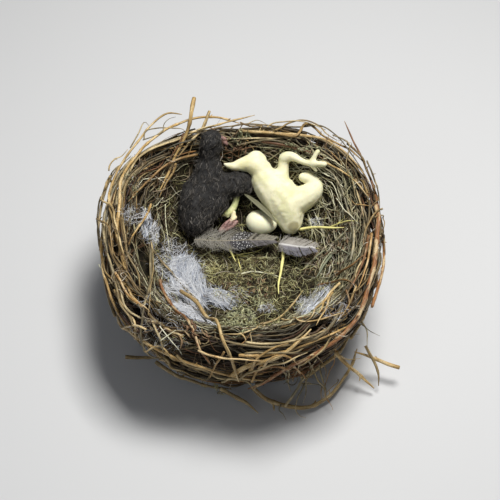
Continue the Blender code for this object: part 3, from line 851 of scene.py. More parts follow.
def course(rng, degrees, arc, long, heading, sway, low, high, step=2.0):
    """A wandering line on the surface, in degrees and arc, kept between two arcs."""
    count = max(8, int(long / step))
    turn = np.zeros(count)
    for _ in range(rng.integers(1, 4)):
        turn[rng.integers(0, count)] += rng.normal() * sway * 0.6
    wave = np.sin(np.linspace(0, rng.uniform(1, 5), count) + rng.uniform(0, 6.3))
    curve = heading + np.cumsum(turn) + sway * wave
    arcs = arc + np.cumsum(np.sin(curve)) * step
    over = np.clip(arcs, low, high)
    arcs = over + (arcs - over) * 0.15
    arcs = np.clip(arcs, 0.5, ARCS[-1] - 1)
    around = degrees + np.degrees(np.cumsum(np.cos(curve)) * step / np.maximum(reach_at(arcs), 15.0))
    return around, arcs


def parted(degrees, arcs):
    """Bends a course round the hollows, which leaves lens-shaped gaps where real twigs part."""
    for at, station, long, high in HOLLOWS:
        along = beside(degrees, at)
        off = arcs[abs(along).argmin()] - arc_at(station)
        arcs = arcs + math.copysign(math.hypot(off, high) - abs(off), off) * np.exp(-((along / long) ** 2))
    return np.clip(arcs, 0.5, ARCS[-1] - 1)


print("a course of 60 mm has", len(course(dice("trial"), 0, 40, 60, 0, 0.1, 0, 90)[0]), "points")

# %% Settling on the pile
BUMP_LIMIT, DEEP_CAP = 2.2, -4  # millimetres over the cap, and the cap of twigs that no hollow stops
HOLLOW_LIMIT = 0.6  # how near to the middle of a hollow a twig may come


def settled(rng, degrees, arcs, radius, cap, free, reach=6):
    """Lays a course on the pile. Gives its points and how much light reaches each, or None where
    the pile is full or a hollow is in the way."""
    lift = eased(PILE.rest(degrees, arcs, radius), reach)
    if np.mean(lift + radius) > cap or np.max(lift + radius) > cap + BUMP_LIMIT:
        return None
    if cap > DEEP_CAP and hollowed(degrees, arcs)[0].max() > HOLLOW_LIMIT:
        return None
    PILE.bury(degrees, arcs, radius, lift)
    if free:
        ends = np.linspace(-1, 1, len(lift))
        lift = lift + free * np.clip(ends * rng.choice([-1, 1]) - 0.55, 0, 1) ** 1.5
    deep = heart_depth(arcs)
    return surface(degrees, arcs, lift), np.clip((lift + deep) / (0.85 * deep + 1), 0.1, 1)


def evened(values, count):
    """The values at so many even steps along a stem."""
    at, where = np.arange(len(values)), np.linspace(0, len(values) - 1, count)
    if np.ndim(values) == 1:
        return np.interp(where, at, values)
    return np.stack([np.interp(where, at, part) for part in np.transpose(values)], 1)


print("seven values at three even steps are", evened(np.arange(7.0), 3))

# %% Weaving
FLOOR_GAP, THINNEST = 0.4, 0.12  # millimetres


def weave(name, count, zone, arcs, long, thick, tones, cap, tilt, rings=34, sides=6, sway=0.16,
          free_share=0.12, shade=(0.15, 1.0)):
    """Lays up to count twigs in a zone of degrees and arcs, as one piece."""
    rng, bundle, points, radii, tone, wear = dice(name), Bundle(name), [], [], [], []
    for _ in range(count):
        radius = thick[0] + (thick[1] - thick[0]) * rng.random() ** 1.8
        reach = rng.uniform(*long) * (0.7 + 0.3 * radius / thick[1])
        heading = rng.normal() * tilt + (math.pi if rng.random() < 0.5 else 0)
        start = rng.uniform(*zone) - np.degrees(math.cos(heading) * reach / 2 / RADIUS)
        around, along = course(rng, start, rng.uniform(*arcs), reach, heading, sway, *arcs)
        along = parted(around, along)
        taper = np.linspace(1, rng.uniform(0.45, 0.8), len(around)) * radius
        free = rng.uniform(5, 16) if rng.random() < free_share else 0.0
        resting = settled(rng, around, along, taper, cap, free)
        if resting is None:
            continue
        spots, light = (evened(values, rings) for values in resting)
        taper = evened(taper, rings) * (1 + 0.10 * wandering(rng, rings, 1)[:, 0])
        taper[-1] *= 0.5
        spots += wandering(rng, rings, 2) * 0.22 * MM
        spots[:, 2] = np.maximum(spots[:, 2], taper * MM + FLOOR_GAP * MM)
        points.append(spots)
        radii.append(np.maximum(taper, THINNEST) * MM)
        tone.append(rng.choice(tones) + rng.normal() * 0.07)
        # Painted shade: each twig's random shade, darker still where it lies deep in the pile.
        wear.append(rng.uniform(*shade) * light)
    bundle.add(points, radii, sides, np.clip(tone, 0, 1), np.array(wear))
    print(name, "took", len(points), "of", count)
    bundle.made(TWIG_BARK, "wall")


print("twigs thinner than", THINNEST, "mm are made that thick")

# %% Laying the wall, from the inside out
ALL_ROUND = (0, 360)
FOOT, LIP = arc_at(0.25), arc_at(7.3)
DULL = [0.05, 0.1, 0.2, 0.3, 0.3, 0.45, 0.85]
WARM = [0.12, 0.25, 0.35, 0.45, 0.55, 0.65, 0.75]
REDDISH = [0.15, 0.3, 0.45, 0.6, 0.75, 0.85]
weave("weave_deep", 260, ALL_ROUND, (FOOT, LIP), (80, 190), (0.8, 1.7), DULL, -4.6, rings=20, sides=5,
      tilt=0.4, shade=(0.0, 0.25))
weave("weave_front", 180, (205, 335), (FOOT, arc_at(5.6)), (40, 160), (0.5, 1.6), WARM, -1.4, tilt=0.75,
      sway=0.25)
weave("rim_front", 60, (205, 335), (arc_at(5.5), arc_at(7.4)), (30, 120), (0.4, 1.1), WARM, 0.0,
      tilt=1.1, sway=0.28, shade=(0.0, 0.8))
for side, count, zone, long, tones, tilt in (("left", 220, (130, 225), (70, 210), DULL, 0.4),
                                             ("back", 210, (30, 150), (70, 210), DULL, 0.4),
                                             ("right", 190, (-50, 50), (70, 200), REDDISH, 0.44)):
    weave("weave_" + side, count, zone, (FOOT, LIP), long, (0.6, 1.6), tones, -1.0, tilt=tilt,
          shade=(0.05, 0.72))
weave("rim_band", 110, (-70, 240), (arc_at(4.7), arc_at(6.3)), (70, 210), (0.6, 1.3), DULL, 2.4, tilt=0.12,
      rings=30, sides=5, free_share=0.0, shade=(0.0, 0.62))
weave("weave_inner", 190, (90, 250), (arc_at(6.4), arc_at(8.7)), (20, 90), (0.35, 0.9), DULL, 1.2, tilt=0.9,
      rings=18, sides=5, shade=(0.0, 0.7))
weave("weave_loose", 260, ALL_ROUND, (FOOT, arc_at(7.6)), (10, 46), (0.25, 0.7), REDDISH, 2.6, tilt=1.6,
      rings=11, sides=4, sway=0.35, free_share=0.5, shade=(0.1, 1.0))

# %% [markdown]
# ## The cup's lining
#
# The cup is lined with what is soft and fine: rootlets, grass stems, moss and leaf crumbs, trodden
# into a mat. The mat itself is a lumpy bowl that replaces the smooth solid. On it lie thousands of
# fine stems: long ones that follow the cup's round on its wall, and short curled ones on its floor.
# Blender's own hair could grow them, but it would stand up from the bowl and not lie along it.

# %% The mat under the fibres
def mat_mesh():
    """A lumpy bowl just under the lining's surface, its edge tucked into the wall, and its underside."""
    degrees, arc = np.meshgrid(np.linspace(0, 360, 150, endpoint=False),
                               np.linspace(arc_at(7.35), ARCS[-1] - 0.6, 56), indexing="ij")
    level = surface(degrees, arc, -0.8)
    rough = lumps(level, 0.005, 0.9) + lumps(level + 3.0, 0.0018, 0.35)
    near, deep = hollowed(degrees, arc)
    points = surface(degrees, arc, rough - 0.9 - deep)
    under = surface(degrees[:, ::-11], arc[:, ::-11], -3.6 - deep[:, ::-11])
    return lathed("cup_mat", np.concatenate([under, points], 1), np.concatenate([near[:, ::-11], near], 1))


MAT = crushed_and_shaded("trodden_mat", rgb(28, 25, 18), rgb(112, 102, 70), 1000.0)
dressed("cup_mat", mat_mesh(), MAT, "lining", "cup_lining")

# %% Finishes of fine stems
def fine_stem(name, *tones, rough=0.7, deep=rgb(60, 52, 34)):
    """Dry grass, rootlets or moss: a colour for each stem's tone, paler and darker along it, brightened or
    darkened by painted shade.
    """
    paint = Paint(name, Specular_IOR_Level=0.3)
    tone, wear, grain = paint.stem()
    blotch = paint.noise(grain.stretched((160, 900, 900)))
    skin = paint.ramp(tone + blotch * 0.24 - 0.12, *tones)
    aged = paint.mix(blotch.rising(0.5, 0.72, 0.0, 0.65), skin, deep, "MULTIPLY")
    # Painted shade: the stem's value of wear and shade brightens or darkens its colour.
    return paint.finish(Base_Color=paint.lit(aged, wear.rising(0.0, 1.0, 0.22, 1.3)),
                        Roughness=blotch.rising(0.3, 0.7, rough - 0.1, rough + 0.15))


GRASS = fine_stem("dry_grass", rgb(94, 86, 66), rgb(146, 138, 106), rgb(186, 182, 148), rgb(236, 234, 208))
MOSS = fine_stem("dry_moss", rgb(84, 70, 54), rgb(130, 118, 82), rgb(182, 178, 122), rgb(232, 231, 186))
ROOTS = fine_stem("rootlets", rgb(74, 56, 40), rgb(120, 96, 70), rgb(166, 150, 126), rgb(216, 210, 194))
print("fine stems:", [finish.name for finish in (GRASS, MOSS, ROOTS)])

# %% Long stems on the wall of the cup
FINE_RINGS = 14


def fine_weave(name, batches, finish):
    """Long fine stems along the cup's round. A batch is (count, zone, arcs, length, radius, tones, cap)."""
    rng, bundle = dice(name), Bundle(name)
    for count, zone, arcs, long, thick, tones, cap in batches:
        points, radii, tone, wear = [], [], [], []
        for _ in range(count):
            reach, radius = rng.uniform(*long), rng.uniform(*thick)
            arc = rng.uniform(*arcs)
            heading = rng.normal() * 0.5 + (math.pi if rng.random() < 0.5 else 0)
            start = rng.uniform(*zone) - np.degrees(math.cos(heading) * reach / 2 / max(reach_at(arc), 30))
            around, along = course(rng, start, arc, reach, heading, 0.35, *arcs)
            along = parted(around, along)
            taper = np.linspace(1, 0.5, len(around)) * radius
            free = rng.uniform(2, 9) if rng.random() < 0.2 else 0
            resting = settled(rng, around, along, taper, cap, free, 3)
            if resting is None:
                continue
            spots, light = (evened(values, FINE_RINGS) for values in resting)
            points.append(spots + wandering(rng, FINE_RINGS, 1) * 0.25 * MM)
            radii.append(evened(taper, FINE_RINGS) * MM)
            tone.append(rng.uniform(*tones))
            # Painted shade: darker where a stem lies deep in the lining.
            wear.append(rng.uniform(0.1, 1.1) * light)
        print(name, "took", len(points), "of", count)
        bundle.add(points, radii, 4, tone, np.array(wear))
    bundle.made(finish, "lining")


UPPER, DEEPER = arc_at(6.8), arc_at(9.2)
fine_weave("grass_wall", [
    (420, (-80, 260), (UPPER, DEEPER), (30, 100), (0.4, 0.75), (0.0, 0.6), 0.6),
    (420, (-60, 70), (arc_at(6.6), DEEPER), (35, 95), (0.35, 0.65), (0.15, 0.9), 1.8),
    (240, ALL_ROUND, (UPPER, DEEPER), (16, 60), (0.25, 0.5), (0.2, 1.0), 1.9),
], GRASS)

# %% Curled stems on its floor
LOFT = 3.0  # millimetres, over which a curled stem bends back down


def curls(rng, spots, normals, long, lift, rings, curl):
    """Short curled stems on spots of a surface: their direction wanders, and bends back to the surface."""
    many = len(spots)
    way = unit(np.cross(normals, rng.normal(size=(many, 3))))
    step = (rng.uniform(*long, many) / (rings - 1))[:, None] * MM
    spin = unit(rng.normal(size=(many, 3)) + normals * 1.5)
    turn = rng.normal(size=(many, 1)) * curl
    points = [spots + normals * rng.uniform(*lift, (many, 1)) * MM]
    for _ in range(rings - 1):
        way = unit(way + np.cross(spin, way) * turn + rng.normal(size=(many, 3)) * 0.22)
        high = ((points[-1] - spots) * normals).sum(1, keepdims=True)
        way = unit(way - normals * np.clip(high / (LOFT * MM) - 0.35, -0.3, 1) * 0.5)
        points.append(points[-1] + way * step)
    return np.stack(points, 1)


def on_cup(rng, many, low, high, zone):
    """Random spots outside the hollows of the cup between two stations, with the way up from each."""
    arcs = np.linspace(arc_at(low), min(arc_at(high), ARCS[-1] - 2), 400)
    share = np.cumsum(np.maximum(reach_at(arcs), 1.0))
    arc = np.interp(rng.random(many) * share[-1], share, arcs)
    degrees = rng.uniform(*zone, many)
    there = hollowed(degrees, arc)[0] < 0.25
    degrees, arc = degrees[there], arc[there]
    spots = surface(degrees, arc)
    return spots, unit(surface(degrees, arc, 1) - spots)


def curl_piece(name, batches, finish, rings):
    """Batches of curled stems: (count, stations, zone, length, radius, tones, lift, curl)."""
    rng, bundle = dice(name), Bundle(name)
    for count, stations, zone, long, thick, tones, lift, curl in batches:
        spots, normals = on_cup(rng, count, *stations, zone)
        points = curls(rng, spots, normals, long, lift, rings, curl)
        radii = rng.uniform(*thick, (len(spots), 1)) * np.linspace(1, 0.45, rings) * MM
        bundle.add(points, radii, 3, rng.uniform(*tones, len(spots)), rng.uniform(0, 1, len(spots)))
    bundle.made(finish, "lining")


curl_piece("moss_floor", [
    (1150, (8.6, 11), ALL_ROUND, (6, 18), (0.17, 0.38), (0.0, 0.9), (-0.4, 1.6), 0.5),
    (480, (8.9, 11), (-120, 140), (7, 18), (0.2, 0.42), (0.6, 1.0), (0.8, 3.2), 0.6),
    (400, (7.6, 9.0), ALL_ROUND, (8, 20), (0.17, 0.34), (0.0, 0.9), (-0.2, 1.6), 0.5),
], MOSS, 6)
curl_piece("rootlets_cup", [
    (260, (7.2, 11), ALL_ROUND, (22, 60), (0.2, 0.36), (0.2, 1.0), (0.6, 2.0), 0.16),
    (200, (7.0, 9.5), (120, 300), (18, 50), (0.2, 0.4), (0.0, 0.8), (0.4, 2.0), 0.2),
], ROOTS, 12)

# %% [markdown]
# ## Twigs that the photograph shows one by one
#
# Over the weave lie the twigs that the photograph shows clearly, each written as the pixels that it
# runs through. Where the rays through them meet the nest, the twig comes to rest on the pile like any
# other. So it shows where it does in the photograph, and still lies on what carries it. The solid twigs
# and the down are added to the pile first, so that nothing is laid through them.

# %% Places on the surface
GRID_DEGREES, GRID_ARCS = (g.ravel() for g in np.meshgrid(
    np.arange(0, 360, 1.0), np.arange(1.0, ARCS[-1] - 1, 1.5), indexing="ij"))
GRID = surface(GRID_DEGREES, GRID_ARCS)
NEAR = KDTree(len(GRID))
for number, spot in enumerate(GRID):
    NEAR.insert(spot, number)
NEAR.balance()


def located(points):
    """Where on the nest the points lie: degrees, arcs, and how far off the surface in millimetres."""
    index = [NEAR.find(point)[1] for point in points]
    degrees, arc = GRID_DEGREES[index], GRID_ARCS[index]
    here = surface(degrees, arc)
    around = surface(degrees + 0.5, arc) - surface(degrees - 0.5, arc)
    along = surface(degrees, arc + 0.5) - surface(degrees, arc - 0.5)
    out = unit(surface(degrees, arc, 1) - here)
    off = points - here
    degrees = degrees + (off * around).sum(1) / (around**2).sum(1)
    arc = np.clip(arc + (off * along).sum(1) / (along**2).sum(1), 0.5, ARCS[-1] - 1)
    return degrees, arc, (off * out).sum(1) / MM


print(len(GRID), "places on the surface to look among")

# %% What is on the pile already
RAY_FROM, TWIG_REACH = 12.0, 9  # millimetres over the surface


def pile_up(tree):
    """Raises the pile to the top of what lies in the cup, where a ray down to the surface meets it."""
    first = int(arc_at(7.0) / CELL)
    arcs = np.arange(first, PILE.cells) * CELL
    for column in range(0, TURN_CELLS, 2):
        high, low = surface(column / 2, arcs, RAY_FROM), surface(column / 2, arcs)
        for row, (a, b) in enumerate(zip(high, low)):
            spot, _, _, far = tree.ray_cast(Vector(a), Vector(b - a).normalized(), (RAY_FROM - 1.0) * MM)
            if spot is not None:
                there = PILE.top[column:column + 2, first + row]
                np.maximum(there, RAY_FROM - far / MM, out=there)


pile_up(solid_tree("down_large", "down_middle", "down_front", "down_left", "down_right", "spotted_feather",
                   "lilac_feather"))
for node in TWIGS:
    fine, _ = resampled(*centre_line(node), STEP)
    degrees, arc, lift = located(fine[:, :3])
    near = lift < TWIG_REACH
    PILE.bury(degrees[near], arc[near], fine[near, 3] / MM, lift[near])
print("the pile stands", round(float(PILE.top.max()), 1), "mm high at most")

# %% Where a traced twig runs
def unbroken(points, most):
    """Which stems have no step longer than that many millimetres, as one across an edge would be."""
    return np.linalg.norm(np.diff(points, axis=1), axis=2).max(1) < most * MM


def strung(pixels, count):
    """So many places on the smooth curve through the pixels."""
    line = [Vector((*pixel, 0)) for pixel in pixels]
    return [between(line, at) for at in np.linspace(0, len(line) - 1, count)]


def hits(pixels):
    """Places where rays through close-set pixels meet the bowl, and which of them missed it."""
    spots = strung(pixels, max(8, int(4.5 * len(pixels))))
    met = [seen(s.x, s.y) for s in spots]
    found = np.array([m or passing(s.x, s.y) for m, s in zip(met, spots)])
    return found, np.array([m is None for m in met]), spots


print("three pixels give", len(hits([(240, 300), (250, 300), (260, 300)])[0]), "places")

# %% Laying a traced twig
TRACED_STEP, SMOOTHINGS = 2.5, 7


def laid(pixels, radius):
    """A traced stem's points, resting on the pile. Where the nest's edge hides a stretch of it, the stem
    follows the surface there."""
    found, missed, spots = hits(pixels)
    ways = np.array([sight(s.x, s.y)[1] for s in spots])
    degrees, arc, off = located(found)
    thick = np.full(len(arc), radius)
    lift = np.where(missed, np.maximum(off, 0), eased(PILE.rest(degrees, arc, thick), 5))
    out = unit(surface(degrees, arc, lift + 1) - surface(degrees, arc, lift))
    slant = np.maximum(-(ways * out).sum(1), 0.35)
    raised = found - ways * (np.where(missed, 0, lift) * MM / slant)[:, None]
    degrees, arc, off = located(raised)
    degrees = np.degrees(np.unwrap(np.radians(degrees)))
    steps = np.hypot(np.diff(np.radians(degrees)) * reach_at(arc[1:]), np.diff(arc))
    far = np.concatenate([[0.0], np.maximum(steps, 0.01).cumsum()])
    at = np.linspace(0, far[-1], max(8, int(far[-1] / TRACED_STEP)))
    high = np.interp(at, far, np.where(missed, np.clip(off, radius, 6.0), 0))
    degrees, arc = np.interp(at, far, degrees), np.interp(at, far, arc)
    thick = np.full(len(at), radius)
    lift = np.maximum(high, eased(PILE.rest(degrees, arc, thick), 3))
    PILE.bury(degrees, arc, thick, lift)
    points = surface(degrees, arc, lift)
    for _ in range(SMOOTHINGS):
        points[1:-1] = (points[:-2] + 2 * points[1:-1] + points[2:]) / 4
    return points


print("a traced twig has a point every", TRACED_STEP, "mm")

# %% A piece of traced twigs, laid or hung
def hung(pixels, radius):
    """A stem that starts by something solid and passes free between the solids that its pixels show."""
    ways = [sight(spot.x, spot.y)[1] for spot in strung(pixels, 6 * len(pixels))]
    far = [EVERYTHING.ray_cast(camera.location, way)[3] for way in ways]
    far[0] = far[0] or (passing(*pixels[0], EVERYTHING) - camera.location).length
    solid = [i for i, f in enumerate(far) if f is not None]
    far = np.interp(range(len(far)), solid, [far[i] for i in solid])
    far = np.convolve(np.pad(far, 4, mode="edge"), np.hanning(11)[1:-1] / 5, "valid")
    return np.array(camera.location) + np.array(ways) * (far - radius * MM)[:, None]


def traced(name, table, finish, slot, sides=7, knot=0.8, lay=laid, painted_brightness=(0.5, 1.1)):
    """A piece of traced twigs. Each row is (radius, tone, x, y, x, y...), from the thick end. Each twig gets
    a painted brightness from a range, brighter at the front than at the sides and back, as painted light.
    """
    rng, bundle = dice(name), Bundle(name)
    for radius, tone, *pixels in table:
        points = lay(list(zip(pixels[::2], pixels[1::2])), radius)
        radii = np.linspace(radius, 0.6 * radius, len(points)) * MM
        tone = np.clip(tone + rng.normal() * 0.04, 0, 1)
        grown(bundle, points, radii, rng, tone, rng.uniform(*painted_brightness), sides, knot)
    bundle.made(finish, slot)


print("the first hanging stem has", len(hung([(285, 406), (317, 359)], 1.4)), "points")


# %% Traced twigs of the front
traced("traced_front", [
    (1.1, 0.35, 117, 290, 125, 307, 133, 324, 141, 339, 153, 347, 165, 353, 180, 358, 192, 364),
    (1.1, 0.3, 192, 364, 210, 373, 222, 377, 241, 378, 253, 382),
    (1.1, 0.15, 153, 321, 155, 333, 156, 345, 165, 353),
    (1.0, 0.3, 165, 355, 173, 364, 185, 369, 195, 375, 207, 378),
    (1.1, 0.25, 176, 356, 187, 361, 198, 367, 210, 372),
    (1.0, 0.55, 224, 350, 216, 363, 210, 377),
    (0.9, 0.3, 265, 326, 252, 330, 238, 333, 222, 335),
    (1.1, 0.45, 240, 332, 245, 336, 246, 342),
    (1.1, 0.22, 246, 342, 260, 344, 279, 344, 288, 341, 303, 338, 327, 330),
    (1.0, 0.2, 245, 355, 260, 355, 274, 353, 286, 351, 301, 346, 324, 339),
    (1.4, 0.45, 249, 372, 255, 363, 266, 354, 276, 347, 288, 343),
    (1.2, 0.55, 251, 374, 262, 364, 272, 356, 282, 352, 292, 352),
    (1.0, 0.7, 253, 375, 268, 371, 281, 366, 288, 365, 297, 368, 305, 375, 314, 379),
    (1.2, 0.3, 260, 323, 271, 321, 281, 316, 289, 308, 297, 298, 303, 290),
    (0.9, 0.45, 281, 318, 288, 320, 301, 321, 318, 320, 332, 316, 345, 312),
    (1.2, 0.4, 334, 293, 327, 306, 321, 316, 316, 326),
    (1.1, 0.3, 330, 292, 322, 303, 313, 315, 306, 322),
    (1.2, 0.45, 341, 284, 333, 294, 326, 304, 319, 314),
    (0.9, 0.15, 337, 334, 325, 345, 309, 353, 296, 362, 284, 372),
    (1.0, 0.35, 146, 330, 134, 325, 126, 324, 120, 319),
    (1.2, 0.25, 222, 383, 238, 377, 255, 369, 270, 361, 288, 357, 306, 352),
    (1.0, 0.6, 199, 349, 212, 356, 228, 360, 246, 362, 262, 362),
], TWIG_BARK, "wall")

# %% Traced twigs of the left band and the back
traced("traced_left", [
    (1.2, 0.35, 109, 176, 108, 194, 111, 205, 114, 219, 118, 234, 122, 249, 126, 263),
    (0.9, 0.2, 105, 199, 100, 207, 99, 220, 101, 228, 105, 241, 108, 252),
    (0.9, 0.55, 105, 220, 109, 233, 111, 249, 113, 262),
    (1.0, 0.45, 121, 217, 121, 229, 123, 240, 124, 252),
    (1.0, 0.5, 106, 238, 110, 252, 114, 260, 119, 268, 122, 280, 123, 295),
    (0.8, 0.1, 115, 186, 119, 173, 123, 163, 128, 153),
    (0.8, 0.4, 142, 169, 150, 165, 164, 158, 174, 155),
    (1.1, 0.2, 110, 266, 114, 279, 119, 294, 123, 304, 129, 314, 134, 329),
    (1.2, 0.6, 115, 272, 121, 281, 125, 291, 133, 300, 146, 306, 151, 311),
    (0.8, 0.08, 126, 281, 133, 289, 143, 297, 148, 300),
    (0.8, 0.18, 151, 240, 151, 255, 151, 266, 150, 283, 150, 304, 149, 316),
    (1.3, 0.25, 153, 249, 162, 258, 170, 270, 178, 280, 187, 290, 198, 300, 206, 308),
    (1.2, 0.55, 153, 204, 146, 215, 138, 229, 128, 245),
    (1.3, 0.45, 175, 163, 166, 179, 160, 190, 157, 197),
    (1.3, 0.62, 198, 155, 184, 157, 170, 163, 158, 172, 142, 187, 128, 202),
    (0.9, 0.8, 184, 135, 179, 144, 171, 156, 168, 164),
    (0.8, 0.7, 197, 152, 184, 153, 174, 157),
    (0.9, 0.15, 166, 156, 154, 160, 144, 167, 134, 177),
    (1.0, 0.2, 173, 151, 160, 154, 148, 161, 137, 172, 129, 185),
    (0.9, 0.1, 196, 139, 182, 142, 166, 148, 152, 155, 141, 164),
], TWIG_BARK, "wall", painted_brightness=(0.25, 0.8))
traced("traced_back", [
    (1.0, 0.25, 240, 139, 256, 138, 273, 138, 289, 136, 301, 138),
    (1.0, 0.18, 236, 146, 253, 142, 268, 140, 284, 142, 295, 146, 303, 150),
    (1.3, 0.48, 274, 134, 289, 134, 304, 133, 317, 136, 329, 142, 343, 148, 353, 156, 362, 166),
    (0.9, 0.35, 275, 132, 285, 129, 299, 128, 309, 130, 324, 138, 335, 144),
    (1.0, 0.4, 344, 148, 355, 159, 365, 172, 371, 184, 373, 195, 371, 207),
    (0.9, 0.15, 368, 162, 376, 178, 379, 190, 380, 202, 377, 209),
    (0.9, 0.55, 240, 129, 251, 130, 260, 127, 272, 128),
    (0.7, 0.2, 330, 140, 340, 152, 348, 166, 353, 182, 355, 198),
], TWIG_BARK, "wall", painted_brightness=(0.25, 0.8))

# %% Traced twigs of the right band
traced("traced_right", [
    (0.9, 0.35, 376, 211, 371, 220, 366, 226, 364, 236, 364, 246),
    (0.7, 0.4, 375, 216, 382, 220, 389, 221, 382, 231, 383, 235),
    (1.0, 0.2, 379, 234, 384, 245, 383, 254),
    (0.9, 0.35, 366, 255, 359, 264, 355, 274, 355, 281),
    (1.2, 0.62, 317, 285, 326, 283, 335, 283, 344, 280, 353, 280, 357, 285),
    (1.2, 0.7, 336, 275, 348, 268, 356, 261, 365, 255),
    (1.2, 0.78, 368, 236, 366, 252, 362, 266, 357, 278, 350, 290),
    (1.1, 0.6, 373, 232, 371, 247, 367, 262, 363, 276, 358, 288),
    (0.9, 0.65, 346, 286, 350, 296, 352, 306, 350, 318),
    (0.9, 0.5, 356, 284, 353, 296, 347, 308, 339, 318),
], TWIG_BARK, "wall", painted_brightness=(0.4, 0.9))
PALE_STEM = fine_stem("pale_stems", rgb(140, 146, 124), rgb(196, 194, 160), rgb(226, 224, 200), rough=0.55,
                      deep=rgb(110, 100, 70))
traced("pale_stems", [
    (0.5, 0.7, 165, 204, 166, 221, 168, 238, 170, 254),
    (0.5, 0.9, 160, 326, 170, 339, 182, 355),
    (0.45, 0.8, 160, 341, 167, 336, 176, 330),
    (0.8, 0.9, 241, 274, 258, 272, 270, 274, 286, 279),
    (0.45, 0.5, 209, 253, 216, 262, 222, 273),
    (0.5, 0.6, 246, 308, 253, 314, 259, 321),
    (0.45, 0.4, 262, 257, 275, 258, 289, 256),
    (1.2, 0.5, 335, 241, 343, 234, 350, 229),
    (1.0, 0.2, 305, 268, 311, 261, 318, 254, 326, 249, 332, 245),
    (1.4, 0.1, 334, 250, 326, 260, 320, 270, 316, 278),
    (1.0, 0.3, 330, 252, 322, 263, 320, 272),
    (0.8, 0.1, 336, 246, 343, 251, 348, 254),
    (0.5, 0.9, 337, 198, 343, 206, 352, 217, 358, 224),
    (0.5, 0.6, 300, 214, 312, 210, 324, 206, 331, 203),
    (0.4, 0.6, 307, 213, 311, 225, 312, 238, 308, 248),
    (0.5, 0.8, 319, 275, 330, 277, 341, 275),
    (0.4, 0.7, 97, 264, 103, 272, 110, 278),
    (0.45, 0.5, 198, 262, 204, 254, 212, 250, 222, 249),
    (0.45, 0.5, 202, 268, 207, 258, 216, 256),
], PALE_STEM, "straw", 6, 0.4)

# %% [markdown]
# ## Stems that hang free
#
# Low on the right, thin roots and a branch hang between the wall and a loop that stands off it, and at
# the back arcs rise over the rim. They touch something only here and there. So a ray through each pixel
# says where it meets a solid, and the stem's distance is drawn straight between those places.

# %% Hanging stems
traced("hanging_stems", [
    (1.4, 0.12, 285, 406, 291, 398, 297, 390, 301, 382, 306, 376, 311, 367, 317, 359),
    (0.6, 0.6, 336, 337, 336, 346, 335, 355, 334, 363, 330, 370, 327, 379, 325, 387, 326, 397, 331, 405,
     333, 410),
    (0.9, 0.1, 319, 364, 321, 373, 323, 381, 326, 390, 326, 398),
    (0.9, 0.15, 312, 366, 315, 374, 318, 381, 324, 387, 325, 397),
    (0.9, 0.8, 322, 387, 321, 393, 322, 399),
    (0.7, 0.05, 287, 370, 286, 377, 287, 382, 290, 385, 294, 385, 297, 381, 298, 374),
    (0.6, 0.05, 301, 383, 308, 384, 315, 384, 321, 386, 325, 392, 325, 398),
    (0.5, 0.4, 338, 379, 338, 382, 332, 387, 326, 393, 321, 399),
    (0.8, 0.12, 281, 404, 279, 410, 283, 414, 286, 420),
    (0.6, 0.08, 296, 404, 296, 411, 300, 416, 306, 418),
    (1.1, 0.1, 305, 383, 302, 390, 298, 397, 296, 406),
    (0.7, 0.08, 310, 368, 306, 380, 306, 392, 303, 404),
    (0.7, 0.3, 340, 355, 346, 359, 354, 359, 361, 358),
    (0.6, 0.15, 338, 344, 345, 338, 351, 335, 360, 334),
    (0.7, 0.05, 362, 322, 367, 331, 367, 340, 367, 348),
    (0.6, 0.03, 358, 322, 364, 326, 370, 331, 380, 336),
    (0.9, 0.1, 286, 366, 289, 374, 288, 383, 291, 392),
    (0.8, 0.05, 292, 364, 299, 372, 304, 380, 312, 384),
    (0.7, 0.2, 300, 362, 297, 371, 292, 379, 283, 384),
    (0.8, 0.08, 308, 360, 312, 368, 309, 377, 301, 386),
    (0.7, 0.3, 316, 356, 322, 362, 326, 371, 324, 380),
    (0.6, 0.1, 283, 372, 290, 376, 299, 377, 308, 374),
    (0.7, 0.2, 144, 140, 146, 131, 158, 128, 170, 128, 182, 129, 188, 135),
    (0.6, 0.12, 143, 140, 154, 136, 160, 133, 163, 130, 164, 124, 169, 119, 176, 117),
    (0.7, 0.1, 130, 148, 138, 134, 142, 125, 145, 122, 149, 126),
    (1.1, 0.22, 129, 174, 136, 160, 150, 150, 164, 144, 177, 140, 189, 135, 200, 129, 214, 125),
    (0.8, 0.35, 109, 171, 110, 165, 115, 159, 122, 156, 128, 149),
    (0.6, 0.25, 228, 131, 236, 125, 246, 124, 257, 120, 266, 124),
    (0.8, 0.15, 263, 131, 272, 124, 284, 122, 298, 121, 312, 124, 326, 130),
], TWIG_BARK, "wall", lay=hung)

# %% [markdown]
# ## The chicks
#
# Two dead chicks lie in the cup, one in dark matted down and one bare and as pale as wax. They could be
# sculpted, but a script has no hand for that. So both are strings of balls along their limbs, melted
# into one skin by a voxel remesh and smoothed. The limbs are those of the solids, with toes and claws
# added, and the skin is pushed off the bowl, as the solid was.

# %% Balls strung along a limb
def beads(limb):
    """Balls strung close together along a limb, each as (centre, radius) in metres."""
    stations = [Vector(point) for point in limb]
    at = 0.0
    while at <= len(limb) - 1:
        x, y, z, radius = between(stations, at)
        yield Vector((x, y, z)) * MM, radius * MM
        first = min(int(at), len(limb) - 2)
        at += 0.3 * radius / (stations[first + 1].xyz - stations[first].xyz).length
    yield Vector(limb[-1][:3]) * MM, limb[-1][3] * MM


def modified(obj, kind, **settings):
    """Adds a modifier and applies it."""
    modifier = obj.modifiers.new(kind, kind)
    for key, value in settings.items():
        setattr(modifier, key, value)
    graph = bpy.context.evaluated_depsgraph_get()
    graph.update()
    obj.data = bpy.data.meshes.new_from_object(obj.evaluated_get(graph))
    obj.modifiers.clear()


def ball():
    """The corners and faces of a ball of radius 1."""
    shape = bmesh.new()
    bmesh.ops.create_icosphere(shape, subdivisions=2, radius=1.0)
    corners = np.array([v.co for v in shape.verts])
    faces = np.array([[v.index for v in f.verts] for f in shape.faces])
    shape.free()
    return corners, faces


print("a ball has", len(ball()[1]), "faces")

# %% Melting the balls into one skin
CLEAR_OF_BOWL = 0.7 * MM


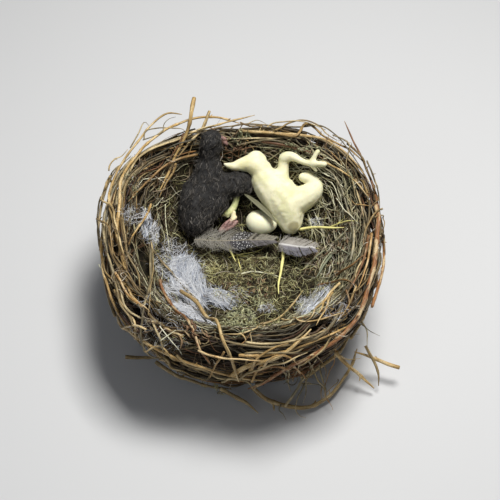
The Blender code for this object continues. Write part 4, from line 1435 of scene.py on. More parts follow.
def melted(name, limbs, voxel, softening):
    """One skin over all the limbs, laid on the bowl."""
    corners, faces = ball()
    strung = [bead for limb in limbs for bead in beads(limb)]
    points = [corners * radius + np.array(centre) for centre, radius in strung]
    joined = [faces + i * len(corners) for i in range(len(strung))]
    mesh = bpy.data.meshes.new(name)
    mesh.from_pydata(np.concatenate(points).tolist(), [], np.concatenate(joined).tolist())
    obj = shown(name, mesh)
    modified(obj, "REMESH", mode="VOXEL", voxel_size=voxel * MM)
    modified(obj, "SMOOTH", iterations=softening, factor=0.6)
    for vertex in obj.data.vertices:
        near, normal, _, distance = BOWL.find_nearest(vertex.co)
        above = distance if (vertex.co - near).dot(normal) >= 0 else -distance
        vertex.co += normal * max(0.0, CLEAR_OF_BOWL - above)
    modified(obj, "SMOOTH", iterations=4, factor=0.5)
    mesh = obj.data
    bpy.data.objects.remove(obj)
    mesh.shade_smooth()
    return mesh


def ruffled(mesh, *layers):
    """Moves each corner along its normal by layers of noise: (size, height) in millimetres."""
    moved = []
    for vertex in mesh.vertices:
        move = sum(noise.noise(vertex.co / (size * MM)) * height for size, height in layers)
        moved.extend(vertex.co + vertex.normal * move * MM)
    mesh.vertices.foreach_set("co", moved)
    mesh.update()


print("a skin stays", CLEAR_OF_BOWL / MM, "mm off the bowl")

# %% The dark chick's limbs, each point as (x, y, z, radius) in millimetres
DARK_LIMBS = [
    [(-43, 39, 86, 14), (-39, 49, 91, 18.5), (-35, 62, 95, 19), (-32, 74, 103, 16.5), (-31, 84, 114, 11),
     (-30, 90, 123, 9.5), (-29, 94, 131, 10.3), (-28, 96, 135, 10)],
    [(-29, 54, 91, 15), (-21, 68, 98, 14.5), (-6, 72, 100, 12), (3, 75, 98, 9.5)],
    [(-47, 66, 100, 9), (-52, 52, 92, 8), (-51, 42, 86, 6)],
]
DARK_BILL = [[(-22, 98, 136, 4.2), (-18, 97.5, 134, 3.0), (-14, 95, 131, 1.9)],
             [(-20, 97, 137, 3), (-15, 97, 136, 1.4)]]
DARK_LEG = [[(-4, 66, 95, 3.6), (-5.5, 60, 88, 3.0), (-8, 55.5, 83.5, 3.4), (-12, 52.5, 80.5, 3.4),
             (-17, 51.5, 79.5, 2.4), (-22, 51, 79, 1.4)],
            [(-11, 52.5, 80, 2.8), (-13, 49.5, 78.5, 1.5)]]
print("limbs:", len(DARK_LIMBS), "in down,", len(DARK_BILL + DARK_LEG), "bare")

# %% The dark chick's body
def down_skin(name, dark, light, crown_highlight, thin=False):
    """Matted down: clumps of fine hair, paler at their tips and darker between them, which is partly painted
    shade, with a painted highlight on the crowns. Thin down lets what is under it show through."""
    paint = Paint(name)
    where = paint.place()
    clumps = paint.noise(where, 140.0, 4.0, 0.6, 1.5)
    hairs = paint.noise(where.stretched((1, 1, 0.4)), 850.0, warp=2.2)
    both = clumps * 0.5 + hairs * 0.5
    colour = paint.mix(both.rising(0.42, 0.64), dark, light)
    colour = paint.mix(clumps.rising(0.6, 0.75, 0.0, 0.5), colour, crown_highlight)
    cover = {"Alpha": both.rising(0.42, 0.58, 0.05, 0.95)} if thin else {}
    return paint.finish(Base_Color=colour, Roughness=hairs.rising(0.2, 0.8, 0.95, 0.75),
                        Normal=paint.bump(both, 1.0 * MM, 1.0), **cover)


def hair_finish(name, root, tip, cast):
    """Down hair: dark at the root of each hair and paler towards its tip."""
    paint = Paint(name, Specular_IOR_Level=0.4)
    tone, wear = paint.fact("tone"), paint.fact("wear")
    colour = paint.mix(wear.rising(0.2, 1.0, 0.0, 0.8), root, tip)
    colour = paint.mix(tone.rising(0.55, 1.0, 0.0, 0.7), colour, cast)
    return paint.finish(Base_Color=colour, Roughness=wear.rising(0.0, 1.0, 0.85, 0.6))


dark_body = melted("dark_chick_body", DARK_LIMBS, 1.25, 2)
ruffled(dark_body, (9.0, 1.3), (4.0, 1.0))
# Painted light: the grey-blue of the crowns is a painted highlight, and the dark between clumps is partly
# painted shade.
MATTED = down_skin("matted_down", rgb(20, 20, 21), rgb(56, 54, 53), rgb(66, 71, 76))
dressed("dark_chick_body", dark_body, MATTED, "black", "dark_chick")

# %% Its down
def skin_spots(mesh, rng, many):
    """Random spots spread evenly over a mesh, with their normals."""
    mesh.calc_loop_triangles()
    corners = np.array([[mesh.vertices[i].co for i in t.vertices] for t in mesh.loop_triangles])
    cross = np.cross(corners[:, 1] - corners[:, 0], corners[:, 2] - corners[:, 0])
    area = np.linalg.norm(cross, axis=1)
    pick = rng.choice(len(area), many, p=area / area.sum())
    a, b = rng.random((2, many, 1))
    turn = a + b > 1
    a, b = np.where(turn, 1 - a, a), np.where(turn, 1 - b, b)
    t = corners[pick]
    return t[:, 0] + a * (t[:, 1] - t[:, 0]) + b * (t[:, 2] - t[:, 0]), unit(cross[pick])


CLUMP, HAIR_RINGS = 3.8 * MM, 4


def downy(name, mesh, many, long, thick, lie, finish, slot, paler):
    """Hairs over a skin that lie along one way and draw together into clumps. paler lists places, each
    (point, metres), round which their tone goes up."""
    rng, bundle = dice(name), Bundle(name)
    spots, normals = skin_spots(mesh, rng, many)
    way = unit(lie - normals * (lie * normals).sum(1, keepdims=True))
    swirl = np.array([noise.noise_vector(Vector(p) / CLUMP) for p in spots])
    fine, broad = 0.5 * CLUMP, 1.8 * CLUMP
    tuft = np.array([noise.noise(Vector(p) / fine) + 0.7 * noise.noise(Vector(p) / broad) for p in spots])
    reach = rng.uniform(*long, many) * (1 + 0.5 * tuft) * MM
    at = np.linspace(0, 1, HAIR_RINGS)[None, :, None]
    out = unit(normals * 0.7 + way * 0.7 + swirl * 1.5)
    bend = unit(way + swirl * 1.6 - normals * 0.35)
    points = spots[:, None] + out[:, None] * reach[:, None, None] * at * (1 - 0.45 * at) + (
        bend[:, None] * reach[:, None, None] * at**2 * 0.6)
    radii = rng.uniform(*thick, (many, 1)) * np.linspace(1, 0.25, HAIR_RINGS) * MM
    tone = 0.45 + 0.75 * tuft + rng.normal(size=many) * 0.16
    for place, wide in paler:
        tone += 0.6 * np.exp(-((np.linalg.norm(spots - np.array(place), axis=1) / wide) ** 2))
    bundle.add(points, radii, 3, np.clip(tone, 0, 1), np.linspace(0, 1, HAIR_RINGS)[None])
    bundle.made(finish, slot)


DARK_CHICK = solid_tree("dark_chick")
DARK_HAIR = hair_finish("dark_down", rgb(22, 20, 20), rgb(108, 101, 93), rgb(134, 129, 123))
LIE = np.array((-0.15, -1.0, -0.2))
PALER = [(seen(197, 219, DARK_CHICK), 7 * MM), (seen(210, 138, DARK_CHICK), 5 * MM)]
downy("dark_chick_down", dark_body, 4500, (2.0, 5.4), (0.17, 0.34), LIE, DARK_HAIR, "black", PALER)

# %% Bare skin, and the dark chick's bill and leg
def skin_finish(name, pale, shade, spot, wet=0.5, bruise=None):
    """Dry bare skin: waxy and pale, duller in its creases, with thin veins. A bruise is a round stain,
    as (point, metres, colour)."""
    paint = Paint(name, Subsurface_Weight=0.2, Subsurface_Scale=0.004, Subsurface_Radius=(1.0, 0.8, 0.5))
    where = paint.place()
    clouds = paint.noise(where, 60.0, 4.0, 0.6, 0.6)
    creases = paint.noise(where, 260.0, warp=1.2)
    veins = paint.maths("ABSOLUTE", paint.noise(where, 75.0, 2.0, 0.5, 1.0) - 0.5)
    colour = paint.mix(clouds.rising(0.42, 0.62), pale, shade)
    flush = paint.noise(where, 24.0).rising(0.5, 0.7, 0.0, 0.5)
    colour = paint.mix(flush, colour, rgb(242, 232, 212), "MULTIPLY")
    colour = paint.mix(paint.noise(where, 150.0, 3.0, 0.7).rising(0.55, 0.72, 0.0, 0.45), colour, spot)
    colour = paint.mix(veins.rising(0.0, 0.012, 0.4, 0.0) * creases.rising(0.4, 0.6), colour, spot)
    if bruise:
        place, wide, stain = bruise
        off = paint.node("VectorMath", {"operation": "DISTANCE"}, {0: where, 1: place}, "Value")
        edge = (off + 3 * MM * creases).rising(wide - MM, wide + 2 * MM, 0.75, 0.0)
        colour = paint.mix(edge, colour, stain)
    return paint.finish(Base_Color=colour, Roughness=creases.rising(0.3, 0.7, wet, wet + 0.2),
                        Normal=paint.bump(clouds * 0.5 + creases * 0.5, 0.4 * MM, 0.7))


HORN = skin_finish("horn_of_bill", rgb(164, 128, 120), rgb(92, 66, 64), rgb(60, 44, 44))
SHANK = skin_finish("yellow_shank", rgb(232, 232, 178), rgb(196, 202, 136), rgb(110, 112, 70))
dressed("dark_chick_bill", melted("dark_chick_bill", DARK_BILL, 0.5, 3), HORN, "pink")
dressed("dark_chick_leg", melted("dark_chick_leg", DARK_LEG, 0.5, 3), SHANK, "straw")

# %% The pale chick
PALE_LIMBS = [
    [(-16, 82, 117, 1.4), (-8, 82, 114, 3.3), (1, 85, 113, 6.6), (10, 86, 113, 9.0), (20, 83, 107, 10.5)],
    [(23, 77, 101, 14), (31, 68, 97, 18), (39, 58, 91, 18.5), (45, 48, 84, 15), (47, 40, 79.5, 10.5)],
    [(38, 76, 104, 7.5), (40, 86, 114, 5.8), (41, 88, 119, 5.4), (48, 86, 123, 4.2), (58, 79, 124, 3.2),
     (65, 76, 125, 3.5)],
    [(64, 76, 125, 3.2), (71, 83, 134, 2.1)],
    [(65, 76, 125, 3.4), (77, 71, 130, 2.7)],
    [(64, 76, 125, 3.0), (70, 71, 121, 2.0)],
    [(9, 92, 116, 4.0), (14, 93, 116, 5.5), (19, 91, 113, 5.5)],
    [(46, 56, 90, 15), (57, 58, 94, 13), (66, 61, 99, 11), (70, 67, 104, 8.2), (65, 72, 108, 6),
     (58, 72, 110, 4)],
]
VENT = (seen(294, 227, solid_tree("pale_chick")), 6.5 * MM, rgb(140, 130, 88))
PALE_SKIN = skin_finish("pale_skin", rgb(238, 234, 200), rgb(228, 226, 180), rgb(204, 200, 162), 0.6, VENT)
pale_body = melted("pale_chick_body", PALE_LIMBS, 1.1, 3)
ruffled(pale_body, (20.0, 1.2), (6.0, 0.2), (2.4, 0.16))
dressed("pale_chick_body", pale_body, PALE_SKIN, "cream", "pale_chick")

# %% [markdown]
# ## The egg
#
# One egg lies between the chicks. An egg is a turned body, blunt at one end, and its shell is smooth
# but not glossy, with pores and a faint stain where it lay. A stretched sphere would be the same at both
# ends, so the profile is the solid's, drawn finer.

# %% The egg
EGG_LONG, EGG_SHORT, EGG_GIRTH = 16.0, 14.0, 11.6
EGG_PLACE = (18, 42, 79.5)
EGG_TURN = (math.radians(90.0), math.radians(80.0))


def shell_finish(name, pale, stain):
    """A smooth dull shell with pores and a faint stain."""
    paint = Paint(name, Subsurface_Weight=0.08, Subsurface_Scale=0.003)
    where = paint.place()
    clouds = paint.noise(where, 70.0, 3.0, 0.5, 0.4)
    pores = paint.noise(where, 1500.0, 2.0, 0.5)
    colour = paint.mix(clouds.rising(0.5, 0.75, 0.0, 0.6), pale, stain)
    return paint.finish(Base_Color=colour, Roughness=pores.rising(0.3, 0.7, 0.42, 0.6),
                        Normal=paint.bump(pores, 0.08 * MM, 0.6))


def egg_mesh():
    """A turned body whose two halves are not equally long, lying on its side."""
    turn, angle = np.meshgrid(np.linspace(0, math.tau, 40, endpoint=False), np.linspace(3.12, 0.02, 28),
                              indexing="ij")
    half = np.where(angle < math.pi / 2, EGG_LONG, EGG_SHORT)
    wide = EGG_GIRTH * np.sin(angle)
    points = np.stack([wide * np.cos(turn), wide * np.sin(turn), half * np.cos(angle)], -1)
    way = Matrix.Rotation(EGG_TURN[1], 3, "Z") @ Matrix.Rotation(EGG_TURN[0], 3, "X")
    return lathed("egg_shell", (points @ np.array(way).T + EGG_PLACE) * MM)


EGGSHELL = shell_finish("eggshell", rgb(252, 251, 218), rgb(240, 236, 192))
dressed("egg_shell", egg_mesh(), EGGSHELL, "egg", "egg")

# %% [markdown]
# ## Feathers
#
# A feather is a shaft with a row of flat barbs on each side. The barbs lean towards the tip and hook
# into each other, and where they have come apart the vane shows a split. At the root they are long
# and loose. Each barb point carries its place in the vane, in metres along the shaft and across it,
# so that a pattern such as rows of white dots can run over all the barbs.

# %% A feather's spine, and what it lies on
def spine(route, at):
    """Points on the smooth curve through a route in millimetres, at shares of its length."""
    stations = [Vector(point) * MM for point in route]
    return np.array([between(stations, share * (len(route) - 1)) for share in at])


def laid_on(tree, points, lift):
    """The points moved up or down onto the shape, or level with its nearest edge beside it."""
    level = points.reshape(-1, 3).copy()
    for point in level:
        spot, _, _, _ = tree.ray_cast(Vector((point[0], point[1], 0.3)), Vector((0, 0, -1)))
        if spot is None:
            spot = tree.find_nearest(Vector(point))[0]
        point[2] = spot.z + lift * MM
    return level.reshape(points.shape)


def vane_width(share):
    """How wide the vane is along the shaft, as a share of its half width."""
    return 0.25 + 0.75 * np.sin(math.pi * np.minimum(1.0, 0.12 + 0.88 * share) ** 0.8)


print("the vane is", round(vane_width(0), 2), "of its full width at the root")

# %% Laying a feather
SPLITS = 0.01  # how far barbs draw together, as a share of the shaft
BARB_LEAN, BARB_RINGS = [62, 45, 26], 8  # degrees off the shaft, from root to tip


def feather(name, node, route, half, finish, slot, many, loose, shaft=0.55):
    """Barbs and shaft laid over the packed vane. loose is how much of the root end is fluff."""
    rng, tree, bundle = dice(name), solid_tree(node), Bundle(name)
    long = sum((Vector(b) - Vector(a)).length for a, b in zip(route, route[1:])) * MM
    out = np.linspace(0, 1, BARB_RINGS)[None, :, None]
    for hand in (-1, 1):
        share = np.sort(rng.uniform(0.01, 0.985, many))
        clump = np.array([noise.noise((s * 26, hand * 3.1, half)) for s in share])
        share = np.clip(share + clump * SPLITS, 0, 0.99)
        root = spine(route, share)
        along = unit(spine(route, np.minimum(share + 0.01, 1)) - spine(route, np.maximum(share - 0.01, 0)))
        side = unit(np.cross(along, (0, 0, 1))) * hand
        fluff = np.clip((loose - share) / 0.12, 0, 1)
        width = half * vane_width(share) * rng.uniform(0.9, 1.06, many) * (1 + 0.12 * clump)
        width = width * (1 + 0.3 * fluff) * MM
        lean = np.radians(np.interp(share, [0, 0.6, 1], BARB_LEAN))
        lean = lean * (1 + 0.2 * clump + 0.5 * fluff * rng.normal(size=many))
        forward = width / np.tan(np.clip(lean, 0.4, 2.4)) * 0.8
        points = root[:, None] + side[:, None] * width[:, None, None] * out + (
            along[:, None] * forward[:, None, None] * out**1.3)
        waves = rng.normal(size=(many, 1, 3)) * np.sin(out * 6) * 1.2 * MM
        points = laid_on(tree, points + fluff[:, None, None] * waves, 0.1)
        lift = (fluff * rng.uniform(0, 5, many) + 0.25 + 0.5 * np.abs(clump))[:, None] * out[..., 0] ** 0.8
        points[..., 2] += (lift + 0.2) * MM
        thick = np.interp(fluff, [0, 1], [0.34, 0.17])[:, None] * np.linspace(1, 0.35, BARB_RINGS) * MM
        field = (share[:, None] * long + forward[:, None] * out[..., 0] ** 1.3,
                 hand * width[:, None] * out[..., 0], share[:, None])
        field = np.stack(np.broadcast_arrays(*field), -1)
        bundle.add(points, thick, 4, rng.random(many), fluff, 0.3, along[:, None], field)
    at = np.linspace(0, 0.97, 30)
    line = laid_on(tree, spine(route, at), 0.45)[None]
    bundle.add(line, np.linspace(shaft, 0.15, 30)[None] * MM, 6, 0.5, 0.0,
               field=np.stack([at * long, 0 * at, at], -1)[None])
    bundle.made(finish, slot, node)


print("barbs lean", BARB_LEAN, "degrees off the shaft")

# %% Vanes and their pattern
def vane_finish(name, near, far, fluff, rib, dots=None, rib_wide=0.5):
    """A vane that differs on its two sides, with a pale rib and, if wanted, white dots in rows."""
    paint = Paint(name, Specular_IOR_Level=0.35)
    tone, loose, field = paint.stem()
    across = paint.node("SeparateXYZ", {}, {0: field}, 1)
    share = paint.node("SeparateXYZ", {}, {0: field}, 2)
    mottle = paint.noise(field.stretched((1, 1, 0)), 500.0, warp=0.4)
    colour = paint.mix((across + 2 * MM * mottle - MM).rising(-3 * MM, 3 * MM), far, near)
    colour = paint.mix(tone.rising(0.5, 1.0, 0.0, 0.4), colour, far, "MULTIPLY")
    if dots:
        size, low, high = dots
        spot = paint.node("TexVoronoi", {"voronoi_dimensions": "2D"},
                          {"Vector": field, "Scale": 1 / (size * MM), "Randomness": 0.75}, "Distance")
        zone = share.rising(low - 0.05, low + 0.05) * (1 - share.rising(high - 0.05, high + 0.05))
        colour = paint.mix(zone * 0.85, colour, rgb(52, 51, 57))
        colour = paint.mix(spot.rising(0.11, 0.21, 1.0, 0.0) * zone, colour, rgb(236, 236, 232))
    colour = paint.mix(loose, colour, fluff)
    colour = paint.mix(paint.maths("ABSOLUTE", across).rising(0.1 * MM, rib_wide * MM, 1.0, 0.0), colour, rib)
    return paint.finish(Base_Color=colour, Roughness=mottle.rising(0.3, 0.7, 0.55, 0.75))


GUINEA = vane_finish("guinea_vane", rgb(104, 100, 102), rgb(142, 137, 124), rgb(172, 168, 158),
                     rgb(164, 156, 138), (2.5, 0.42, 0.66))
LILAC = vane_finish("lilac_vane", rgb(124, 122, 130), rgb(166, 161, 154), rgb(184, 180, 174),
                    rgb(222, 220, 218), rib_wide=1.6)
feather("spotted_feather_barbs", "spotted_feather", [(-44, 22, 78), (-18, 21, 77), (6, 22, 77), (31, 22, 78)],
        10.5, GUINEA, "slate", 320, 0.42)
feather("lilac_feather_barbs", "lilac_feather", [(35, 17, 78), (46, 14, 79), (57, 10, 82), (68, 6, 88)],
        11.0, LILAC, "lilac", 190, 0.12, shaft=0.7)

# %% [markdown]
# ## Down
#
# Tufts of white down are pressed flat into the lining. Down has no shaft: its silky barbs lie side by
# side in white locks, streaked with painted bluish shade, which let the dark below show where they thin
# out. So each tuft is a low soft pad, made from the packed lock and painted grey-blue as shade under the
# locks, under hundreds of flat tapering locks that run one way and fan out past its edge, with single
# hairs between them.

# %% A finish for locks of down
def silk_finish(name, white, streak_shade):
    """A silky lock: streaks of hair run along it, white and in a painted bluish shade, and it thins out
    towards its ends.
    """
    paint = Paint(name, Specular_IOR_Level=0.45)
    tone, wear, grain = paint.stem()
    streaks = paint.noise(grain.stretched((45, 3800, 3800)))
    colour = paint.mix((-0.4 + tone + 0.8 * streaks).rising(0.15, 0.85), streak_shade, white)
    return paint.finish(Base_Color=colour, Roughness=streaks.rising(0.3, 0.7, 0.75, 0.5),
                        Alpha=(streaks * 0.7 + wear * 0.5).rising(0.46, 0.72, 0.1, 1.0))


# Painted light: the pad's grey-blue dark is painted shade under the locks, and its crown colour a painted
# highlight.
DOWN = down_skin("white_down", rgb(112, 120, 136), rgb(192, 198, 210), rgb(208, 212, 220), thin=True)
# Painted shade: the bluish grey between the white streaks of each lock.
SILK = silk_finish("silky_down", rgb(228, 231, 236), rgb(150, 158, 176))
DOWN_HAIR = hair_finish("down_hair", rgb(222, 225, 232), rgb(248, 248, 250), rgb(196, 202, 214))
print("down:", [finish.name for finish in (DOWN, SILK, DOWN_HAIR)])

# %% Laying locks
def combed(name, tree, spots, degrees, long, thick, finish, rings, high):
    """Flat tapering locks through spots on a shape. degrees is the way that each runs, seen from above."""
    rng, many = dice(name), len(spots)
    at = np.linspace(-0.5, 0.5, rings)[None, :, None]
    turn = np.radians(degrees)[:, None] + rng.normal(size=(many, 1)) * 0.9 * at[..., 0]
    way = np.stack([np.cos(turn), np.sin(turn), 0 * turn], -1)
    reach = rng.uniform(*long, (many, 1, 1)) * MM
    points = laid_on(tree, spots[:, None] + way * reach * at, 0.3)
    points[..., 2] += rng.uniform(0.1, high, (many, 1)) * np.cos(at[..., 0] * math.pi) ** 0.7 * MM
    taper = np.cos(at[..., 0] * math.pi * 0.94) ** 0.8
    radii = rng.uniform(*thick, (many, 1)) * np.maximum(taper, 0.12) * MM
    side = unit(np.cross(way, (0, 0, 1)))
    whole = unbroken(points, 1.7 * long[1] / (rings - 1))
    tone = np.clip(rng.normal(0.6, 0.28, many), 0, 1)
    bundle = Bundle(name)
    bundle.add(points[whole], radii[whole], 3, tone[whole], taper, 0.35, side[whole])
    bundle.made(finish, "white")


print("the bowl's middle is", np.round(laid_on(BOWL, np.zeros((1, 3)), 0)[0, 2] / MM, 1), "mm high")

# %% Tufts
FACING_UP = 0.12
# Each kind of hair: share of the count, radii, finish, spread in degrees, points along it, highest lift.
HAIR = (("_locks", 1.5, (0.2, 0.55), SILK, 12, 7, 1.6), ("_hairs", 0.8, (0.09, 0.16), DOWN_HAIR, 30, 6, 3.0))


def tuft(node, lean, many, long, low=0.6):
    """A packed lock of down, finished. lean is the way that its hair runs low and high in the picture."""
    obj = shown(node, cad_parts[node].data.copy())
    modified(obj, "WELD", merge_threshold=0.01 * MM)
    modified(obj, "REMESH", mode="VOXEL", voxel_size=1.1 * MM)
    modified(obj, "SMOOTH", iterations=2, factor=0.6)
    mesh = obj.data
    bpy.data.objects.remove(obj)
    ruffled(mesh, (7.0, 1.6), (2.6, 0.9))
    pressed = [BOWL.find_nearest(v.co)[0].lerp(v.co, low) for v in mesh.vertices]
    mesh.vertices.foreach_set("co", [x for spot in pressed for x in spot])
    mesh.update()
    mesh.materials.clear()
    mesh.shade_smooth()
    dressed(node + "_pad", mesh, DOWN, "white", node)
    rng, tree = dice(node + "_locksspots"), solid_tree("twig_wall", "cup_lining", meshes=[mesh])
    for kind, share, thick, finish, spread, rings, high in HAIR:
        spots, normals = skin_spots(mesh, rng, int(1.7 * share * many))
        spots = spots[normals[:, 2] > FACING_UP]
        ends = (spots[:, 1].min(), spots[:, 1].max())
        degrees = np.interp(spots[:, 1], ends, lean) + rng.normal(size=len(spots)) * spread
        combed(node + kind, tree, spots, degrees, long, thick, finish, rings, high)


tuft("down_large", (138, 66), 320, (16, 38))
tuft("down_middle", (148, 160), 120, (10, 24))
tuft("down_front", (140, 148), 170, (18, 36))
tuft("down_left", (80, 110), 60, (8, 18), 0.3)
tuft("down_right", (46, 70), 70, (10, 28), 0.3)

# %% [markdown]
# ## What is caught on the twigs
#
# Wisps of down, crumbs of lichen and bits of leaf cling to the twigs round the cup, and tufts of fine
# fibre lie on its floor. Each patch is given by its place in the photograph, and its strands come to
# rest on the pile, as the traced twigs did. Scattered at random they would miss the look of this nest.

# %% Strewn strands
def strewn(name, patches, finish, slot, steps=6, sides=3, flat=1.0):
    """Short strands that lie on the pile. A patch is (x, y, half width, half height, how many, pixels
    long, degrees, spread of degrees, radius, highest lift)."""
    rng, bundle = dice(name), Bundle(name)
    at = np.linspace(-0.5, 0.5, steps)
    for x, y, wide, high, many, long, degrees, spread, radius, lofty in patches:
        angle, off = rng.uniform(0, math.tau, many), np.sqrt(rng.random(many))
        way = np.radians(degrees + spread * rng.normal(size=many))[:, None]
        way = way + rng.normal(size=(many, 1)) * 1.2 * at
        reach = long * rng.uniform(0.4, 1.2, (many, 1))
        across = (x + wide * off * np.cos(angle))[:, None] + reach * at * np.cos(way)
        down = (y + high * off * np.sin(angle))[:, None] - reach * at * np.sin(way)
        found = np.array([seen(*p) or passing(*p) for p in zip(across.ravel(), down.ravel())])
        turn, arc, _ = located(found)
        thick = np.full(len(arc), radius)
        loft = (rng.uniform(0, lofty, (many, 1)) * np.cos(at * math.pi) ** 0.5).ravel()
        lift = PILE.rest(turn, arc, np.maximum(thick, 0.5)) + loft
        points = surface(turn, arc, lift).reshape(many, steps, 3)
        points[:, 1:-1] = (points[:, :-2] + 2 * points[:, 1:-1] + points[:, 2:]) / 4
        taper = np.maximum(np.cos(at * math.pi * 0.9), 0.3)
        whole = unbroken(points, 3.0 + 2.2 * long / (steps - 1))
        radii = radius * rng.uniform(0.6, 1.2, (many, 1)) * taper * MM
        bundle.add(points[whole], radii[whole], sides, rng.random(whole.sum()), taper[None], flat)
    bundle.made(finish, slot)


strewn("caught_down", [
    (132, 214, 11, 9, 170, 11, 60, 40, 0.15, 3.0), (152, 234, 6, 13, 110, 10, 80, 35, 0.18, 2.5),
    (174, 290, 11, 9, 130, 18, -38, 20, 0.18, 2.5), (186, 308, 15, 10, 110, 20, -36, 20, 0.18, 2.0),
    (166, 262, 12, 14, 90, 16, 30, 50, 0.14, 2.5), (172, 246, 14, 8, 60, 13, 40, 40, 0.12, 3.0),
    (317, 222, 6, 4, 50, 7, 20, 50, 0.16, 1.5), (267, 308, 8, 4, 70, 8, 20, 40, 0.18, 2.0),
    (303, 308, 7, 10, 80, 12, 70, 40, 0.14, 2.5), (325, 305, 22, 18, 130, 14, 45, 50, 0.12, 3.0),
    (240, 296, 12, 10, 40, 14, -10, 40, 0.12, 2.0), (150, 320, 14, 20, 60, 15, -40, 50, 0.12, 2.5),
    (188, 318, 18, 14, 90, 18, -38, 25, 0.14, 2.5), (288, 378, 12, 9, 50, 11, 20, 90, 0.14, 3.0),
    (168, 344, 20, 10, 70, 12, -30, 50, 0.12, 2.5),
], DOWN_HAIR, "white")

# %% Fibres and rootlets
strewn("floor_fibres", [
    (228, 270, 26, 17, 300, 13, 10, 90, 0.2, 1.6), (250, 259, 18, 3, 60, 15, 5, 20, 0.3, 2.0),
    (275, 275, 24, 20, 160, 12, 0, 90, 0.2, 1.6), (250, 296, 40, 12, 160, 12, 0, 90, 0.2, 1.4),
    (212, 383, 14, 6, 90, 9, 0, 90, 0.3, 4.0), (172, 345, 24, 10, 80, 10, -30, 60, 0.22, 2.0),
    (209, 268, 8, 18, 110, 12, 60, 90, 0.24, 3.2),
], MOSS, "lining", 5)
strewn("loose_rootlets", [
    (290, 374, 22, 12, 60, 20, 0, 90, 0.3, 3.0), (330, 345, 18, 18, 45, 22, 40, 60, 0.3, 2.5),
    (360, 310, 9, 24, 36, 18, 70, 60, 0.3, 2.5), (148, 335, 18, 16, 45, 20, -40, 60, 0.3, 2.5),
    (122, 262, 12, 36, 45, 22, 90, 40, 0.3, 2.5), (240, 392, 36, 7, 30, 16, 0, 70, 0.3, 2.5),
    (200, 366, 26, 10, 30, 20, -20, 60, 0.3, 2.5), (366, 212, 10, 36, 36, 18, 90, 50, 0.3, 2.5),
    (325, 152, 28, 10, 40, 18, -20, 60, 0.3, 2.0), (150, 172, 22, 24, 60, 18, 50, 60, 0.3, 2.0),
    (340, 225, 18, 30, 70, 20, 60, 60, 0.3, 2.0), (320, 260, 18, 22, 50, 22, 50, 40, 0.3, 2.0),
], ROOTS, "lining", 9, 4)

# %% Crumbs of lichen and bits of leaf
LICHEN = fine_stem("lichen", rgb(112, 114, 88), rgb(142, 144, 112), rgb(174, 174, 140), rough=0.85,
                   deep=rgb(80, 76, 52))
strewn("lichen_crumbs", [
    (240, 320, 17, 13, 230, 6, 0, 90, 0.7, 1.2), (262, 300, 10, 6, 60, 6, 0, 90, 0.5, 1.0),
    (302, 150, 22, 8, 110, 6, 0, 90, 0.6, 1.4), (352, 180, 8, 14, 50, 5, 90, 60, 0.5, 1.0),
    (240, 138, 12, 6, 50, 5, 0, 90, 0.6, 1.0), (130, 190, 8, 14, 40, 5, 60, 60, 0.5, 1.0),
], LICHEN, "lining", 5, 5, 0.45)
BITS = fine_stem("leaf_bits", rgb(88, 66, 50), rgb(126, 100, 76), rgb(152, 134, 104), rough=0.75,
                 deep=rgb(60, 44, 32))
strewn("leaf_bits", [
    (194, 334, 13, 12, 16, 15, -50, 16, 1.5, 1.0), (250, 290, 26, 12, 40, 7, 0, 90, 0.8, 1.0),
    (236, 147, 14, 6, 16, 8, 0, 40, 0.9, 1.0), (340, 250, 14, 26, 30, 9, 60, 50, 0.8, 1.0),
], BITS, "lining", 6, 6, 0.16)

# %% [markdown]
# ## Straws, a grass blade and a shred of skin
#
# The yellow straws are grown like the twigs, with a node now and then. The grass blade is a flat
# strip that has dried to olive grey. The pinkish shred is a curl of skin with a pale tip.

# %% Straws and blade
STRAW = fine_stem("yellow_straw", rgb(178, 170, 98), rgb(216, 208, 128), rgb(232, 226, 156), rough=0.5,
                  deep=rgb(120, 100, 56))
STRAW_TIP, THICKER = (0.034, -0.034, 0.0705), 1.2
for node in ("straw_upright", "straw_left", "straw_right"):
    rng, bundle = dice(node), Bundle(node + "_stem")
    points, radii = centre_line(node)
    if node == "straw_upright":
        points, radii = np.append(points, [STRAW_TIP], 0), np.append(radii, radii[-1])
    grown(bundle, points, radii * THICKER, rng, rng.uniform(0.4, 0.9), 0.8, 8, 0.35)
    bundle.made(STRAW, "straw", node)
traced("yellow_bits", [
    (0.9, 0.5, 237, 254, 239, 263, 241, 272),
    (0.6, 0.6, 229, 257, 238, 254, 250, 253, 260, 250),
    (0.5, 0.3, 231, 254, 242, 257, 252, 255, 263, 249),
    (0.8, 0.7, 330, 227, 338, 224, 346, 221, 356, 220),
    (0.5, 0.5, 336, 225, 343, 219, 348, 215),
], STRAW, "straw", 6, 0.3)

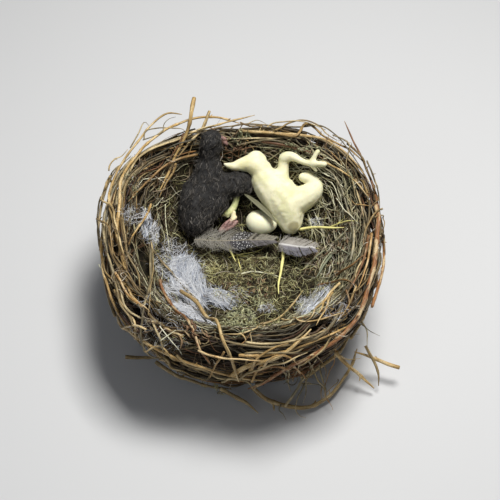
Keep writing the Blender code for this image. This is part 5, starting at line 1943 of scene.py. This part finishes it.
# %% The grass blade
BLADE = fine_stem("olive_blade", rgb(104, 104, 84), rgb(148, 146, 118), rgb(196, 190, 160), rough=0.6)
BLADE_FACING = (0.5, 0.6, 0.9)
BLADE_STRIPS = ((-3.0, 2.8), (1.4, 3.2), (4.4, 1.6), (0.0, 0.8))  # place across and half width; last, the rib
line, _ = resampled(*centre_line("grass_blade"), 1.2 * MM)
line = line[:, :3] + np.array((-1.8, -1.2, 3.0)) * MM
shape = np.sin(np.linspace(0.35, 2.9, len(line)))
across = unit(np.cross(np.gradient(line, axis=0), BLADE_FACING))
blade = Bundle("blade_strip")
for offset, wide in BLADE_STRIPS:
    rib = offset == 0
    edge = line[None] + across * (offset * shape * MM)[:, None]
    edge[..., 2] += 0.35 * MM * rib
    blade.add(edge, (wide * shape * MM)[None], 8, 0.3 + 0.2 * rib, 0.5, 0.35, across)
blade.made(BLADE, "green", "grass_blade")

# %% The shred of skin
CURL = [[(-20, 36, 73, 2.3), (-15, 40, 76, 3.4), (-10, 43, 79, 3.2), (-6, 46, 81.5, 2.2)],
        [(-16, 36.5, 73.5, 2.0), (-10, 39.5, 76, 2.7), (-5, 42.5, 78.5, 2.2)],
        [(-9, 45, 80.5, 2.3), (-7.5, 47.5, 82.5, 2.5), (-7, 50, 84.5, 1.6)]]


def curl_finish():
    """Pinkish skin that turns to cream at its tip."""
    paint = Paint("curl_skin", Subsurface_Weight=0.1, Subsurface_Scale=0.002)
    where = paint.place()
    high = paint.node("SeparateXYZ", {}, {0: where}, 2)
    folds = paint.noise(where, 330.0, warp=0.8)
    pink = paint.mix(folds.rising(0.4, 0.6), rgb(112, 82, 78), rgb(178, 144, 136))
    colour = paint.mix((high + 2 * MM * folds - MM).rising(81.5 * MM, 83.0 * MM), pink, rgb(238, 226, 184))
    return paint.finish(Base_Color=colour, Roughness=folds.rising(0.3, 0.7, 0.4, 0.65),
                        Normal=paint.bump(folds, 0.5 * MM, 0.9))


curl = melted("curl_of_skin", CURL, 0.45, 3)
ruffled(curl, (3.5, 0.5))
dressed("curl_of_skin", curl, curl_finish(), "pink", "pink_curl")

# %% [markdown]
# ## The last update
#
# The scene is brought up to date once more, so that every piece's place is worked out. The visual
# model has to stay in the solids' box, apart from what fibres may stand proud.

# %% Last update
bpy.context.view_layer.update()
